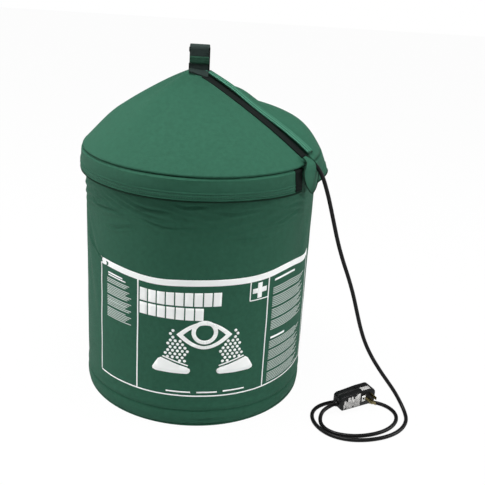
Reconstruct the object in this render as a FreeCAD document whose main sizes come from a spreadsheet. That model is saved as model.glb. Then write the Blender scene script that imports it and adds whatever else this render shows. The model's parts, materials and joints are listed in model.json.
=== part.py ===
"""Portable eyewash tank in a heated, insulated fabric jacket with a lift-off cone lid and a mains lead.

Millimetres and degrees. The origin is the middle of the jacket's base on the floor, +Z is up and -Y is the front.
"""
import FreeCAD, Part
import math
import os
import Sketcher
from FreeCAD import Placement, Rotation, Vector

# Driving dimensions. Each goes to one cell of the sheet, and the sub-parts read them from there.
DRIVING = {
    # jacket
    "jacket_radius": 228.5,
    "jacket_height": 502,
    "base_board": 3,
    "shell_cloth": 1.6,
    "wall_filling": 16,
    "liner_cloth": 1.4,
    "floor_filling": 12,
    "binding_cloth": 1,
    "binding_depth": 16,
    # heater
    "heater_thickness": 2.4,
    "soft_gap": 0.3,
    "heater_bottom": 70,
    "heater_height": 190,
    "heater_wrap": 300,
    "thermostat_radius": 13,
    "thermostat_height": 6,
    "thermostat_gap": 0.7,
    "lead_radius": 4,
    # lid
    "rim_height": 515.5,
    "rim_edge": 4,
    "lid_top": 648,
    "lid_top_radius": 32,
    "lid_bow": 560,
    "cone_wall": 4,
    "skirt_clearance": 0.4,
    "skirt_wall": 5.6,
    "skirt_drop": 41,
    "skirt_flare": 3.5,
    "notch_width": 18,
    "notch_reach": 195,
    "strip_start": 36,
    "strip_end": 206,
    "hook_width": 14,
    "hook_thickness": 2,
    "flap_width": 22,
    "flap_thickness": 4,
    "flap_gap": 0.5,
    "strip_gap": 0.1,
    "patch_thickness": 1.2,
    # carry loop
    "loop_shift": 11.5,
    "loop_width": 38,
    "loop_height": 56,
    "loop_depth": 16,
    "webbing": 3.5,
    "fastener_base": 1,
    "fastener_height": 18,
    "fastener_thickness": 1.5,
    # tongue beside the lead
    "tongue_width": 28,
    "tongue_cloth": 2.5,
    "tongue_drop": 42,
    "tongue_clearance": 1.5,
    "tongue_root": 6,
    # tank
    "tank_radius": 193,
    "tank_wall": 2,
    "tank_bottom_radius": 152,
    "tank_bottom_rise": 35,
    "knuckle_rise": 30,
    "shoulder_height": 432,
    "head_bow": 200,
    "neck_radius": 34,
    "neck_bore": 28,
    "neck_base": 498,
    "neck_drop": 2.6,
    "fitting_height": 505,
    "ferrule_base": 470,
    "fitting_circle": 110,
    "fill_ferrule_radius": 26,
    "fill_bore": 20,
    "small_ferrule_radius": 9,
    "small_bore": 4,
    "foot_radius": 150,
    "foot_wall": 3,
    # tank handles
    "handle_circle": 148,
    "handle_reach": 100,
    "handle_rod": 5,
    "handle_foot_base": 454,
    "handle_foot_height": 476,
    "handle_height": 46,
    "handle_foot_radius": 9,
    # cap, valves and gauge
    "gasket_thickness": 2,
    "cap_radius": 30,
    "cap_thickness": 14,
    "wing_height": 12,
    "wing_inset": 3,
    "wing_thickness": 8,
    "seat_gap": 0.3,
    "gauge_radius": 25,
    "gauge_depth": 18,
    "gauge_wall": 1.5,
    "gauge_stem": 12,
    "dial_thickness": 1,
    "lens_thickness": 2,
    "dial_depth": 7,
    "needle_length": 17,
    "needle_hub": 3,
    "needle_tail": 6,
    "needle_tail_half": 1.2,
    "needle_tip_half": 0.4,
    "needle_thickness": 0.8,
    "relief_height": 28,
    "relief_shoulder": 8,
    "relief_neck": 7,
    "relief_bore_depth": 18,
    "pull_stand": 6,
    "ring_sink": 2,
    "ring_radius": 10,
    "ring_wire": 1.3,
    "relief_pin_radius": 2,
    "air_stem_radius": 4,
    "air_stem_height": 26,
    "air_cap_radius": 5.6,
    "air_cap_height": 12,
    "air_cap_stand": 3,
    # outlet, ball valve and eyewash head
    "head_fitting_height": 9,
    "pipe_radius": 9,
    "pipe_bore": 6,
    "dip_end": 62,
    "valve_size": 30,
    "ball_radius": 10,
    "ball_gap": 0.3,
    "stem_radius": 3.5,
    "stem_gap": 0.1,
    "stem_depth": 3,
    "lever_stand": 6,
    "lever_length": 75,
    "lever_width": 12,
    "lever_thickness": 3,
    "yoke_rise": 9,
    "yoke_foot": 12,
    "nozzle_spread": 75,
    "nozzle_radius": 18,
    "nozzle_height": 16,
    "nozzle_bore": 13,
    "nozzle_taper": 4,
    "bore_taper": 3,
    "nozzle_floor": 2,
    "rose_depth": 5,
    "rose_thickness": 2,
    "rose_gap": 1.2,
    "dust_cap_thickness": 5,
    "tab_length": 8,
    "hinge_offset": 4,
    "hinge_pin_radius": 1.5,
    "hinge_gap": 0.1,
    "ear_spread": 6,
    "ear_thickness": 3,
    "ear_wall": 2,
    "bracket_drop": 6,
    "knuckle_inset": 0.5,
    "knuckle_half": 5.6,
    # mains lead and plug
    "cord_azimuth": 335,
    "cord_radius": 4,
    "cord_start": 224,
    "cord_start_height": 520,
    "gland_wall": 1.5,
    "gland_foot_reach": 10,
    "gland_foot_height": 4,
    "relief_length": 20,
    "relief_thick": 5.6,
    "relief_thin": 4.6,
    "relief_dip": 25,
    "plug_turn": 29.6,
    "plug_length": 86,
    "plug_width": 28,
    "plug_height": 36,
    "plug_taper": 4,
    "plug_corner": 4,
    "plug_wall": 3,
    "boot_length": 4,
    "boot_seat": 16.4,
    "boot_height": 9.5,
    "boot_radius": 6,
    "boot_wall": 0.8,
    "button_length": 7,
    "button_width": 5,
    "button_stand": 1,
    "button_sink": 2,
    "button_offset": 4,
    "test_spot": 48,
    "reset_spot": 60,
    "button_gap": 0.3,
    "blade_length": 18,
    "blade_width": 6.3,
    "blade_thickness": 1.5,
    "blade_spot": 75,
    "blade_height": 10,
    "blade_spacing": 12.7,
    "ground_offset": 11.9,
    "ground_extra": 3,
    "ground_radius": 2.4,
    "screw_radius": 1.5,
    "screw_head": 2.8,
    "screw_sink": 1,
    "screw_left": 6,
    "screw_left_low": 13,
    "screw_right": 5,
    "screw_right_low": 7,
    "screw_top": 8,
    "board_gap": 6,
    "board_thickness": 1.6,
    "board_clearance": 1,
    "relay_inset": 3,
    "relay_length": 16,
    "relay_drop": 5,
    "relay_height": 10,
    "plate_left": 10,
    "plate_right": 46,
    "plate_low": 4,
    "plate_drop": 6,
    "label_thickness": 0.4,
}

# The lead's route, chosen point by point: out over the rim, down the side, round the floor and under its own plug.
CORD_ROUTE = [
    (212.9, -99.3, 514.9), (221.7, -103.4, 507.9), (229.6, -107.0, 498.2), (236.1, -110.1, 486.2),
    (242.4, -112.1, 469.6), (249.5, -111.5, 449.0), (257.0, -109.0, 424.0), (266.0, -107.5, 393.0),
    (277.0, -106.0, 356.0),
    (290.5, -107.0, 319.0), (305.5, -107.5, 283.0), (318.5, -107.0, 247.0), (329.0, -108.5, 212.0),
    (339.5, -109.0, 178.0), (352.5, -110.0, 144.0), (371.0, -110.5, 110.0), (394.0, -111.5, 77.0),
    (411.0, -112.3, 55.0), (428.1, -112.0, 31.7), (440.5, -124.3, 14.3), (447.6, -145.7, 4.3),
    (446.0, -172.0, 4.3), (434.0, -199.0, 4.3), (414.0, -221.0, 4.3), (387.0, -237.0, 4.3),
    (355.0, -247.0, 4.3), (322.0, -249.5, 4.3), (291.0, -241.0, 4.3), (268.0, -222.0, 4.3),
    (254.0, -194.0, 4.3), (253.0, -165.0, 4.3), (266.0, -141.0, 4.3), (289.0, -124.5, 4.3),
    (318.0, -115.0, 4.3), (348.0, -110.5, 4.3), (376.0, -110.0, 4.3), (401.0, -116.0, 4.3),
    (419.0, -131.0, 4.3), (428.0, -153.0, 4.3), (424.0, -178.0, 4.3), (409.0, -201.0, 4.3),
    (387.0, -218.5, 4.3), (360.0, -230.5, 4.3), (331.0, -236.5, 4.3), (299.7, -233.0, 4.3),
    (280.3, -221.7, 4.3), (269.0, -202.2, 4.3), (269.0, -179.8, 8.5), (280.3, -160.3, 15.0),
    (299.8, -149.0, 18.2),
]
# The runs of a bend meet in an arc that takes this share of the shorter one.
ARC_SHARE = 0.45


class Size:
    """A number that remembers the sheet formula it comes from."""

    def __init__(self, value, text):
        self.value = float(value)
        self.text = text

    def __add__(self, other):
        other = size(other)
        return Size(self.value + other.value, f"({self.text} + {other.text})")

    def __sub__(self, other):
        other = size(other)
        return Size(self.value - other.value, f"({self.text} - {other.text})")

    def __mul__(self, other):
        other = size(other)
        return Size(self.value * other.value, f"({self.text} * {other.text})")

    def __truediv__(self, other):
        other = size(other)
        return Size(self.value / other.value, f"({self.text} / {other.text})")

    def __neg__(self):
        return size(0) - self

    def __radd__(self, other):
        return size(other) + self

    def __rsub__(self, other):
        return size(other) - self

    def __rmul__(self, other):
        return size(other) * self


def size(number):
    """A plain number as a Size, or the Size itself."""
    return number if isinstance(number, Size) else Size(number, f"{number:g}")


def cosine(angle):
    return Size(math.cos(math.radians(angle.value)), f"cos({angle.text})")


def sine(angle):
    return Size(math.sin(math.radians(angle.value)), f"sin({angle.text})")


def root(number):
    return Size(math.sqrt(number.value), f"sqrt({number.text})")


doc = FreeCAD.newDocument("eyewash")
sheet = doc.addObject("Spreadsheet::Sheet", "sizes")
for row, (alias, number) in enumerate(DRIVING.items(), start=1):
    sheet.set(f"A{row}", alias)
    sheet.set(f"B{row}", str(number))
    sheet.setAlias(f"B{row}", alias)
doc.recompute()


class Sizes:
    """The driving dimensions by name."""


for alias, number in DRIVING.items():
    setattr(Sizes, alias, Size(number, f"sizes.{alias}"))
S = Sizes

sub_parts = []


def bind(thing, path, value):
    """Sets a property of an object to a size, by the sheet where the size comes from it."""
    value = size(value)
    if "sizes." in value.text:
        thing.setExpression(path, value.text)


def new_body(label, x=0, y=0, z=0, turn=0.0, rotation=None):
    """A body whose origin is bound to the sheet, turned about Z or as given."""
    body = doc.addObject("PartDesign::Body", label)
    body.Label = label
    spin = rotation or Rotation(Vector(0, 0, 1), turn)
    body.Placement = Placement(Vector(size(x).value, size(y).value, size(z).value), spin)
    for axis, value in zip("xyz", (x, y, z)):
        bind(body, f"Placement.Base.{axis}", value)
    sub_parts.append(body)
    return body


def sketch_in(body, role, height=0):
    """An empty sketch on one of the body's own planes, raised along the plane's normal."""
    sketch = body.newObject("Sketcher::SketchObject", "outline")
    plane = [f for f in body.Origin.OriginFeatures if f.Role == role][0]
    sketch.AttachmentSupport = (plane, [""])
    sketch.MapMode = "FlatFace"
    sketch.AttachmentOffset = Placement(Vector(0, 0, size(height).value), Rotation())
    bind(sketch, "AttachmentOffset.Base.z", height)
    return sketch


def fix_point(sketch, geometry, end, x, y):
    """Holds a point at x, y from the sketch's origin."""
    for kind, axis, value in (("DistanceX", -2, size(x)), ("DistanceY", -1, size(y))):
        if value.text == "0":
            sketch.addConstraint(Sketcher.Constraint("PointOnObject", geometry, end, axis))
        else:
            index = sketch.addConstraint(Sketcher.Constraint(kind, -1, 1, geometry, end, value.value))
            bind(sketch, f"Constraints[{index}]", value)


def draw(sketch, corners, arcs=None):
    """A closed outline. arcs gives {edge: (radius, side)}, with side 1 where the centre lies left of the edge."""
    arcs = arcs or {}
    points = [Vector(size(x).value, size(y).value, 0) for x, y in corners]
    ends = []
    for i, start in enumerate(points):
        stop = points[(i + 1) % len(points)]
        if i in arcs:
            radius, side = arcs[i]
            chord = stop - start
            half = chord.Length / 2
            left = Vector(-chord.y, chord.x, 0).normalize()
            centre = start + chord * 0.5 + left * (side * math.sqrt(size(radius).value ** 2 - half ** 2))
            first, last = (start, stop) if side > 0 else (stop, start)
            angles = [math.atan2(p.y - centre.y, p.x - centre.x) for p in (first, last)]
            circle = Part.Circle(centre, Vector(0, 0, 1), size(radius).value)
            geometry = sketch.addGeometry(Part.ArcOfCircle(circle, *angles))
            ends.append((1, 2) if side > 0 else (2, 1))
        else:
            geometry = sketch.addGeometry(Part.LineSegment(start, stop))
            ends.append((1, 2))
    for i in range(len(points)):
        following = (i + 1) % len(points)
        sketch.addConstraint(Sketcher.Constraint("Coincident", i, ends[i][1], following, ends[following][0]))
    for i, (x, y) in enumerate(corners):
        fix_point(sketch, i, ends[i][0], x, y)
    for i, (radius, _) in arcs.items():
        index = sketch.addConstraint(Sketcher.Constraint("Radius", i, size(radius).value))
        bind(sketch, f"Constraints[{index}]", radius)
    return sketch


def box_corners(low_x, low_y, high_x, high_y):
    return [(low_x, low_y), (high_x, low_y), (high_x, high_y), (low_x, high_y)]


def circle(sketch, radius, x=0, y=0):
    """A circle of that radius, added to the sketch."""
    middle = Vector(size(x).value, size(y).value, 0)
    geometry = sketch.addGeometry(Part.Circle(middle, Vector(0, 0, 1), size(radius).value))
    if size(x).text == "0" and size(y).text == "0":
        sketch.addConstraint(Sketcher.Constraint("Coincident", geometry, 3, -1, 1))
    else:
        fix_point(sketch, geometry, 3, x, y)
    index = sketch.addConstraint(Sketcher.Constraint("Radius", geometry, size(radius).value))
    bind(sketch, f"Constraints[{index}]", radius)
    return sketch


def feature(body, kind, sketch, **settings):
    made = body.newObject(f"PartDesign::{kind}", kind.lower())
    made.Profile = (sketch, [""])
    for name, value in settings.items():
        setattr(made, name, value)
    body.Tip = made
    return made


def pad(body, sketch, length, backwards=False):
    made = feature(body, "Pad", sketch, Length=size(length).value, Reversed=backwards)
    bind(made, "Length", length)
    return made


def pocket(body, sketch, length, backwards=False):
    made = feature(body, "Pocket", sketch, Length=size(length).value, Reversed=backwards)
    bind(made, "Length", length)
    return made


def turned(body, corners, arcs=None, angle=360):
    """Turns an outline of (radius, height) corners about the body's Z axis."""
    sketch = draw(sketch_in(body, "XZ_Plane"), corners, arcs)
    made = feature(body, "Revolution", sketch, ReferenceAxis=(sketch, ["V_Axis"]), Angle=size(angle).value)
    bind(made, "Angle", angle)
    return made


def ring(label, inner, outer, low, high, **place):
    """A straight tube, or a disc where inner is 0."""
    body = new_body(label, **place)
    turned(body, box_corners(inner, low, outer, high))
    return body


def sideways(angle):
    """The rotation that lays a body's Z axis along the horizontal direction of that angle."""
    return Rotation(Vector(0, 0, 1), angle) * Rotation(Vector(0, 1, 0), 90)


# ---- jacket -------------------------------------------------------------------------------------------------
shell_inner = S.jacket_radius - S.shell_cloth
filling_inner = shell_inner - S.wall_filling
liner_inner = filling_inner - S.liner_cloth
floor_top = S.base_board + S.floor_filling
binding_top = S.jacket_height + S.binding_cloth
binding_outer = S.jacket_radius + S.binding_cloth
binding_inner = liner_inner - S.binding_cloth

ring("jacket_base", 0, S.jacket_radius, 0, S.base_board)
ring("jacket_shell", shell_inner, S.jacket_radius, S.base_board, S.jacket_height)
ring("wall_insulation", filling_inner, shell_inner, S.base_board, S.jacket_height)
ring("floor_insulation", 0, filling_inner, S.base_board, floor_top)
ring("jacket_liner", liner_inner, filling_inner, floor_top, S.jacket_height)

binding_low = S.jacket_height - S.binding_depth
turned(new_body("top_binding"), [
    (liner_inner, binding_low), (liner_inner, S.jacket_height),
    (S.jacket_radius, S.jacket_height), (S.jacket_radius, binding_low),
    (binding_outer, binding_low), (binding_outer, binding_top),
    (binding_inner, binding_top), (binding_inner, binding_low),
])

# ---- heater in the jacket -----------------------------------------------------------------------------------
heater_outer = liner_inner - S.soft_gap
heater_inner = heater_outer - S.heater_thickness
heater_top = S.heater_bottom + S.heater_height
cord_turn = S.cord_azimuth.value
heater = new_body("heater_blanket", turn=cord_turn - S.heater_wrap.value / 2)
turned(heater, box_corners(heater_inner, S.heater_bottom, heater_outer, heater_top), angle=S.heater_wrap)

cord_x = cosine(S.cord_azimuth)
cord_y = sine(S.cord_azimuth)
thermostat_place = heater_inner - S.thermostat_height - S.thermostat_gap
thermostat = new_body(
    "thermostat",
    x=thermostat_place * cord_x,
    y=thermostat_place * cord_y,
    z=heater_top - S.thermostat_radius * 2,
    rotation=sideways(cord_turn),
)
turned(thermostat, box_corners(0, 0, S.thermostat_radius, S.thermostat_height))

lead_place = heater_inner - S.lead_radius - S.soft_gap
gland_low = binding_top
ring(
    "heater_lead", 0, S.lead_radius, heater_top - S.thermostat_radius, gland_low,
    x=lead_place * cord_x, y=lead_place * cord_y,
)

# The gland block stands on the binding and turns the lead outwards into the tapered strain relief.
gland_inner = lead_place - S.lead_radius - S.gland_wall
gland_outer = S.cord_start - S.relief_length * cosine(S.relief_dip)
gland_half = S.relief_thick + S.gland_wall
gland_bore_height = S.cord_start_height + S.relief_length * sine(S.relief_dip)
gland = new_body("cord_gland", turn=cord_turn)
for outer, top in (
    (gland_outer, gland_bore_height + S.relief_thick),
    (gland_outer + S.gland_foot_reach, gland_low + S.gland_foot_height),
):
    footprint = draw(
        sketch_in(gland, "XY_Plane", gland_low), box_corners(gland_inner, -gland_half, outer, gland_half),
    )
    pad(gland, footprint, top - gland_low)
strain_relief = new_body(
    "strain_relief",
    x=gland_outer * cord_x,
    y=gland_outer * cord_y,
    z=gland_bore_height,
    rotation=Rotation(Vector(0, 0, 1), cord_turn) * Rotation(Vector(0, 1, 0), 90 + S.relief_dip.value),
)
relief_root = S.relief_thick * sine(S.relief_dip)
turned(strain_relief, [
    (0, relief_root), (S.relief_thick, relief_root), (S.relief_thin, S.relief_length), (0, S.relief_length),
])

# ---- tongue that covers the gap beside the lead ----------------------------------------------------------------
skirt_inner = binding_outer + S.skirt_clearance
skirt_outer = skirt_inner + S.skirt_wall
hem_outer = skirt_outer + S.skirt_flare
skirt_top = S.rim_height - S.rim_edge
hem_height = skirt_top - S.skirt_drop
TONGUE_TURN = -31.3
# The leaf keeps its full width down to this share of its length.
TONGUE_SHOULDER = 0.45
tongue_face = hem_outer + S.tongue_clearance
tongue_half = S.tongue_width / 2
tongue_low = binding_top - S.tongue_drop
tongue = new_body("cable_tongue", turn=TONGUE_TURN)
pad(
    tongue,
    draw(
        sketch_in(tongue, "XY_Plane", binding_top),
        box_corners(binding_inner + S.tongue_root, -tongue_half, tongue_face + S.tongue_cloth, tongue_half),
    ),
    S.tongue_cloth,
)
leaf = draw(sketch_in(tongue, "YZ_Plane", tongue_face), [
    (-tongue_half, binding_top + S.tongue_cloth), (-tongue_half, binding_top - S.tongue_drop * TONGUE_SHOULDER),
    (0, tongue_low), (tongue_half, binding_top - S.tongue_drop * TONGUE_SHOULDER),
    (tongue_half, binding_top + S.tongue_cloth),
])
pad(tongue, leaf, S.tongue_cloth)

# ---- lid ----------------------------------------------------------------------------------------------------
LID_GAP_START = 324.5
LID_GAP_END = 340
cone = new_body("lid_cone", turn=cord_turn)
turned(cone, [
    (0, S.lid_top - S.cone_wall), (S.lid_top_radius, S.lid_top - S.cone_wall),
    (skirt_inner, skirt_top), (skirt_outer, skirt_top),
    (skirt_outer, S.rim_height), (S.lid_top_radius, S.lid_top), (0, S.lid_top),
], arcs={1: (S.lid_bow - S.cone_wall, -1), 4: (S.lid_bow, 1)})
notch_half = S.notch_width / 2
notch = draw(
    sketch_in(cone, "XY_Plane", S.rim_height - S.rim_edge * 2),
    box_corners(S.notch_reach, -notch_half, hem_outer + S.skirt_wall, notch_half),
)
pocket(cone, notch, S.notch_width * 2, backwards=True)

skirt = new_body("lid_skirt", turn=LID_GAP_END)
turned(skirt, [
    (skirt_inner, skirt_top), (skirt_inner + S.skirt_flare, hem_height),
    (hem_outer, hem_height), (skirt_outer, skirt_top),
], angle=360 + LID_GAP_START - LID_GAP_END)

PATCH_SPAN = 6
patch = new_body("skirt_hook_patch", turn=LID_GAP_START - PATCH_SPAN)
turned(patch, [
    (skirt_outer, skirt_top), (hem_outer, hem_height),
    (hem_outer + S.patch_thickness, hem_height), (skirt_outer + S.patch_thickness, skirt_top),
], angle=PATCH_SPAN)


def bow_height(radius, bow, low, high):
    """The height of an arc of radius bow from low to high, each (radius, height), at a given radius."""
    start, stop = Vector(low[0].value, low[1].value, 0), Vector(high[0].value, high[1].value, 0)
    chord = stop - start
    down = Vector(chord.y, -chord.x, 0).normalize()
    down = down if down.y < 0 else down * -1
    centre = start + chord * 0.5 + down * math.sqrt(bow ** 2 - (chord.Length / 2) ** 2)
    return centre.y + math.sqrt(bow ** 2 - (radius - centre.x) ** 2)


def cone_strip(label, start, stop, thickness, width, side):
    """A strip of cloth that lies along the cone from one radius to another, beside the cord's radial plane."""
    body = new_body(label, turn=cord_turn)
    rim = (skirt_outer, S.rim_height)
    top = (S.lid_top_radius, S.lid_top)
    low_start = bow_height(start.value, S.lid_bow.value, rim, top)
    low_stop = bow_height(stop.value, S.lid_bow.value, rim, top)
    sketch = draw(sketch_in(body, "XZ_Plane", side), [
        (start, low_start + S.strip_gap), (stop, low_stop + S.strip_gap),
        (stop, low_stop + S.strip_gap + thickness), (start, low_start + S.strip_gap + thickness),
    ], arcs={0: (S.lid_bow, -1), 2: (S.lid_bow + thickness, 1)})
    pad(body, sketch, width)
    return body


cone_strip("slit_hook_strip", S.strip_start, S.strip_end, S.hook_thickness, S.hook_width, -S.hook_width / 2)
cone_strip(
    "slit_flap", S.strip_start, S.strip_end, S.flap_thickness, S.flap_width,
    -(S.hook_width / 2 + S.flap_gap + S.flap_width),
)

# ---- carry loop ---------------------------------------------------------------------------------------------
loop_half = S.loop_depth / 2
loop = new_body("carry_loop", x=-(S.loop_shift + S.loop_width / 2), z=S.lid_top)
arch = draw(sketch_in(loop, "YZ_Plane"), [
    (-loop_half, 0), (-loop_half + S.webbing, 0),
    (-loop_half + S.webbing, S.loop_height - loop_half), (0, S.loop_height - S.webbing),
    (loop_half - S.webbing, S.loop_height - loop_half), (loop_half - S.webbing, 0), (loop_half, 0),
    (loop_half, S.loop_height - loop_half), (0, S.loop_height), (-loop_half, S.loop_height - loop_half),
], arcs={
    2: (loop_half - S.webbing, -1), 3: (loop_half - S.webbing, -1), 7: (loop_half, 1), 8: (loop_half, 1),
})
pad(loop, arch, S.loop_width)

fasteners = new_body("loop_fasteners", x=-(S.loop_shift + S.loop_width / 2), z=S.lid_top)
upper_low = S.loop_height - loop_half - S.fastener_height
for low in (S.fastener_base, upper_low):
    patch_sketch = draw(
        sketch_in(fasteners, "YZ_Plane"),
        box_corners(-(loop_half + S.fastener_thickness), low, -loop_half, low + S.fastener_height),
    )
    pad(fasteners, patch_sketch, S.loop_width)

# ---- tank ---------------------------------------------------------------------------------------------------
tank_bottom = floor_top + S.tank_bottom_rise
knuckle_top = tank_bottom + S.knuckle_rise
tank_inner = S.tank_radius - S.tank_wall
tank = new_body("tank_shell")
turned(tank, [
    (0, tank_bottom), (S.tank_bottom_radius, tank_bottom), (S.tank_radius, knuckle_top),
    (S.tank_radius, S.shoulder_height), (S.neck_radius, S.neck_base), (S.neck_radius, S.fitting_height),
    (S.neck_bore, S.fitting_height), (S.neck_bore, S.neck_base - S.neck_drop),
    (tank_inner, S.shoulder_height - S.tank_wall / 2),
    (tank_inner, knuckle_top), (S.tank_bottom_radius, tank_bottom + S.tank_wall), (0, tank_bottom + S.tank_wall),
], arcs={3: (S.head_bow, 1), 7: (S.head_bow - S.tank_wall, -1)})

FILL_AZIMUTH = 90
GAUGE_AZIMUTH = 328
RELIEF_AZIMUTH = 212
AIR_AZIMUTH = 135


def on_circle(azimuth):
    """x and y of a fitting on the tank head's circle of fittings."""
    angle = math.radians(azimuth)
    return S.fitting_circle * round(math.cos(angle), 6), S.fitting_circle * round(math.sin(angle), 6)


small_places = [on_circle(azimuth) for azimuth in (GAUGE_AZIMUTH, RELIEF_AZIMUTH, AIR_AZIMUTH)]
fill_place = on_circle(FILL_AZIMUTH)
ferrules = sketch_in(tank, "XY_Plane", S.ferrule_base)
circle(ferrules, S.fill_ferrule_radius, *fill_place)
for place in small_places:
    circle(ferrules, S.small_ferrule_radius, *place)
pad(tank, ferrules, S.fitting_height - S.ferrule_base)
bores = sketch_in(tank, "XY_Plane", S.fitting_height)
circle(bores, S.fill_bore, *fill_place)
for place in small_places:
    circle(bores, S.small_bore, *place)
pocket(tank, bores, S.fitting_height - S.ferrule_base + S.tank_wall)

# Feet for the two handles, welded to the head.
HANDLE_AZIMUTHS = (0, 180)
foot_places = []
for azimuth in HANDLE_AZIMUTHS:
    out = Vector(math.cos(math.radians(azimuth)), math.sin(math.radians(azimuth)), 0)
    for side in (-0.5, 0.5):
        foot_places.append((
            S.handle_circle * round(out.x, 6) - S.handle_reach * round(side * out.y, 6),
            S.handle_circle * round(out.y, 6) + S.handle_reach * round(side * out.x, 6),
        ))
feet = sketch_in(tank, "XY_Plane", S.handle_foot_base)
for place in foot_places:
    circle(feet, S.handle_foot_radius, *place)
pad(tank, feet, S.handle_foot_height - S.handle_foot_base)

ring("foot_ring", S.foot_radius - S.foot_wall, S.foot_radius, floor_top, tank_bottom)

for name, azimuth in zip(("tank_handle_right", "tank_handle_left"), HANDLE_AZIMUTHS):
    handle = new_body(name, z=S.handle_foot_height, turn=azimuth)
    half = S.handle_reach / 2
    bar = draw(sketch_in(handle, "YZ_Plane", S.handle_circle - S.handle_rod), [
        (-(half + S.handle_rod), 0), (-(half - S.handle_rod), 0),
        (-(half - S.handle_rod), S.handle_height - S.handle_rod * 2),
        (half - S.handle_rod, S.handle_height - S.handle_rod * 2), (half - S.handle_rod, 0),
        (half + S.handle_rod, 0), (half + S.handle_rod, S.handle_height - S.handle_rod * 2),
        (half - S.handle_rod, S.handle_height), (-(half - S.handle_rod), S.handle_height),
        (-(half + S.handle_rod), S.handle_height - S.handle_rod * 2),
    ])
    pad(handle, bar, S.handle_rod * 2)

# ---- fill cap, air valve and relief valve -----------------------------------------------------------------------
gasket_top = S.fitting_height + S.gasket_thickness
ring(
    "fill_gasket", S.fill_bore, S.fill_ferrule_radius, S.fitting_height, gasket_top,
    x=fill_place[0], y=fill_place[1],
)
cap = ring(
    "fill_cap", 0, S.cap_radius, gasket_top + S.seat_gap, gasket_top + S.seat_gap + S.cap_thickness,
    x=fill_place[0], y=fill_place[1],
)
wing_half = S.wing_thickness / 2
wing_end = S.cap_radius - S.wing_inset
wing = draw(
    sketch_in(cap, "XY_Plane", gasket_top + S.seat_gap + S.cap_thickness),
    box_corners(-wing_end, -wing_half, wing_end, wing_half),
)
pad(cap, wing, S.wing_height)

air_x, air_y = small_places[2]
ring("air_valve", 0, S.air_stem_radius, S.fitting_height, S.fitting_height + S.air_stem_height, x=air_x, y=air_y)
air_cap_low = S.fitting_height + S.air_stem_height - S.air_cap_height + S.air_cap_stand
air_cap = new_body("air_valve_cap", x=air_x, y=air_y)
air_bore = S.air_stem_radius + S.seat_gap
air_bore_top = S.fitting_height + S.air_stem_height + S.seat_gap
turned(air_cap, [
    (0, air_bore_top), (air_bore, air_bore_top), (air_bore, air_cap_low), (S.air_cap_radius, air_cap_low),
    (S.air_cap_radius, air_cap_low + S.air_cap_height), (0, air_cap_low + S.air_cap_height),
])

relief_x, relief_y = small_places[1]
relief_top = S.fitting_height + S.relief_height
relief_floor = relief_top - S.relief_bore_depth
pull_top = relief_top + S.pull_stand
pin_bore = S.relief_pin_radius + S.seat_gap
relief = new_body("relief_valve", x=relief_x, y=relief_y)
turned(relief, [
    (0, S.fitting_height), (S.small_ferrule_radius, S.fitting_height), (S.small_ferrule_radius, relief_top - S.relief_shoulder),
    (S.relief_neck, relief_top), (pin_bore, relief_top), (pin_bore, relief_floor), (0, relief_floor),
])
pull = new_body("relief_pull_ring", x=relief_x, y=relief_y)
turned(pull, box_corners(0, relief_floor + S.seat_gap, S.relief_pin_radius, pull_top))
eye_middle = pull_top - S.ring_sink + S.ring_radius
eye = sketch_in(pull, "XZ_Plane", -S.ring_wire)
circle(eye, S.ring_radius + S.ring_wire, 0, eye_middle)
circle(eye, S.ring_radius - S.ring_wire, 0, eye_middle)
pad(pull, eye, S.ring_wire * 2)

# ---- pressure gauge -------------------------------------------------------------------------------------------
gauge_x, gauge_y = small_places[0]
gauge_low = S.fitting_height + S.gauge_stem
gauge_top = gauge_low + S.gauge_depth
gauge_inner = S.gauge_radius - S.gauge_wall
gauge_floor = gauge_low + S.gauge_wall
case = new_body("gauge_case", x=gauge_x, y=gauge_y)
turned(case, [
    (0, S.fitting_height), (S.small_ferrule_radius, S.fitting_height), (S.small_ferrule_radius, gauge_low),
    (S.gauge_radius, gauge_low), (S.gauge_radius, gauge_top), (gauge_inner, gauge_top),
    (gauge_inner, gauge_floor), (0, gauge_floor),
])
dial_low = gauge_top - S.lens_thickness - S.dial_depth
dial_top = dial_low + S.dial_thickness
ring("gauge_movement", 0, S.gauge_radius / 2, gauge_floor, dial_low, x=gauge_x, y=gauge_y)
ring("gauge_dial", 0, gauge_inner, dial_low, dial_top, x=gauge_x, y=gauge_y)
ring("gauge_lens", 0, gauge_inner, gauge_top - S.lens_thickness, gauge_top, x=gauge_x, y=gauge_y)
NEEDLE_REST = 225
needle = new_body("gauge_needle", x=gauge_x, y=gauge_y, z=dial_top + S.seat_gap, turn=NEEDLE_REST)
turned(needle, box_corners(0, 0, S.needle_hub, S.needle_hub))
pointer = draw(sketch_in(needle, "XY_Plane"), [
    (-S.needle_tail, -S.needle_tail_half), (S.needle_length, -S.needle_tip_half),
    (S.needle_length, S.needle_tip_half), (-S.needle_tail, S.needle_tail_half),
])
pad(needle, pointer, S.needle_thickness)

# ---- outlet: head fitting, dip tube, ball valve and lever ----------------------------------------------------
head_top = S.fitting_height + S.head_fitting_height
ring("head_fitting", S.pipe_bore, S.neck_radius, S.fitting_height, head_top)
ring("dip_tube", S.pipe_bore, S.pipe_radius, S.dip_end, S.fitting_height)

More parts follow.
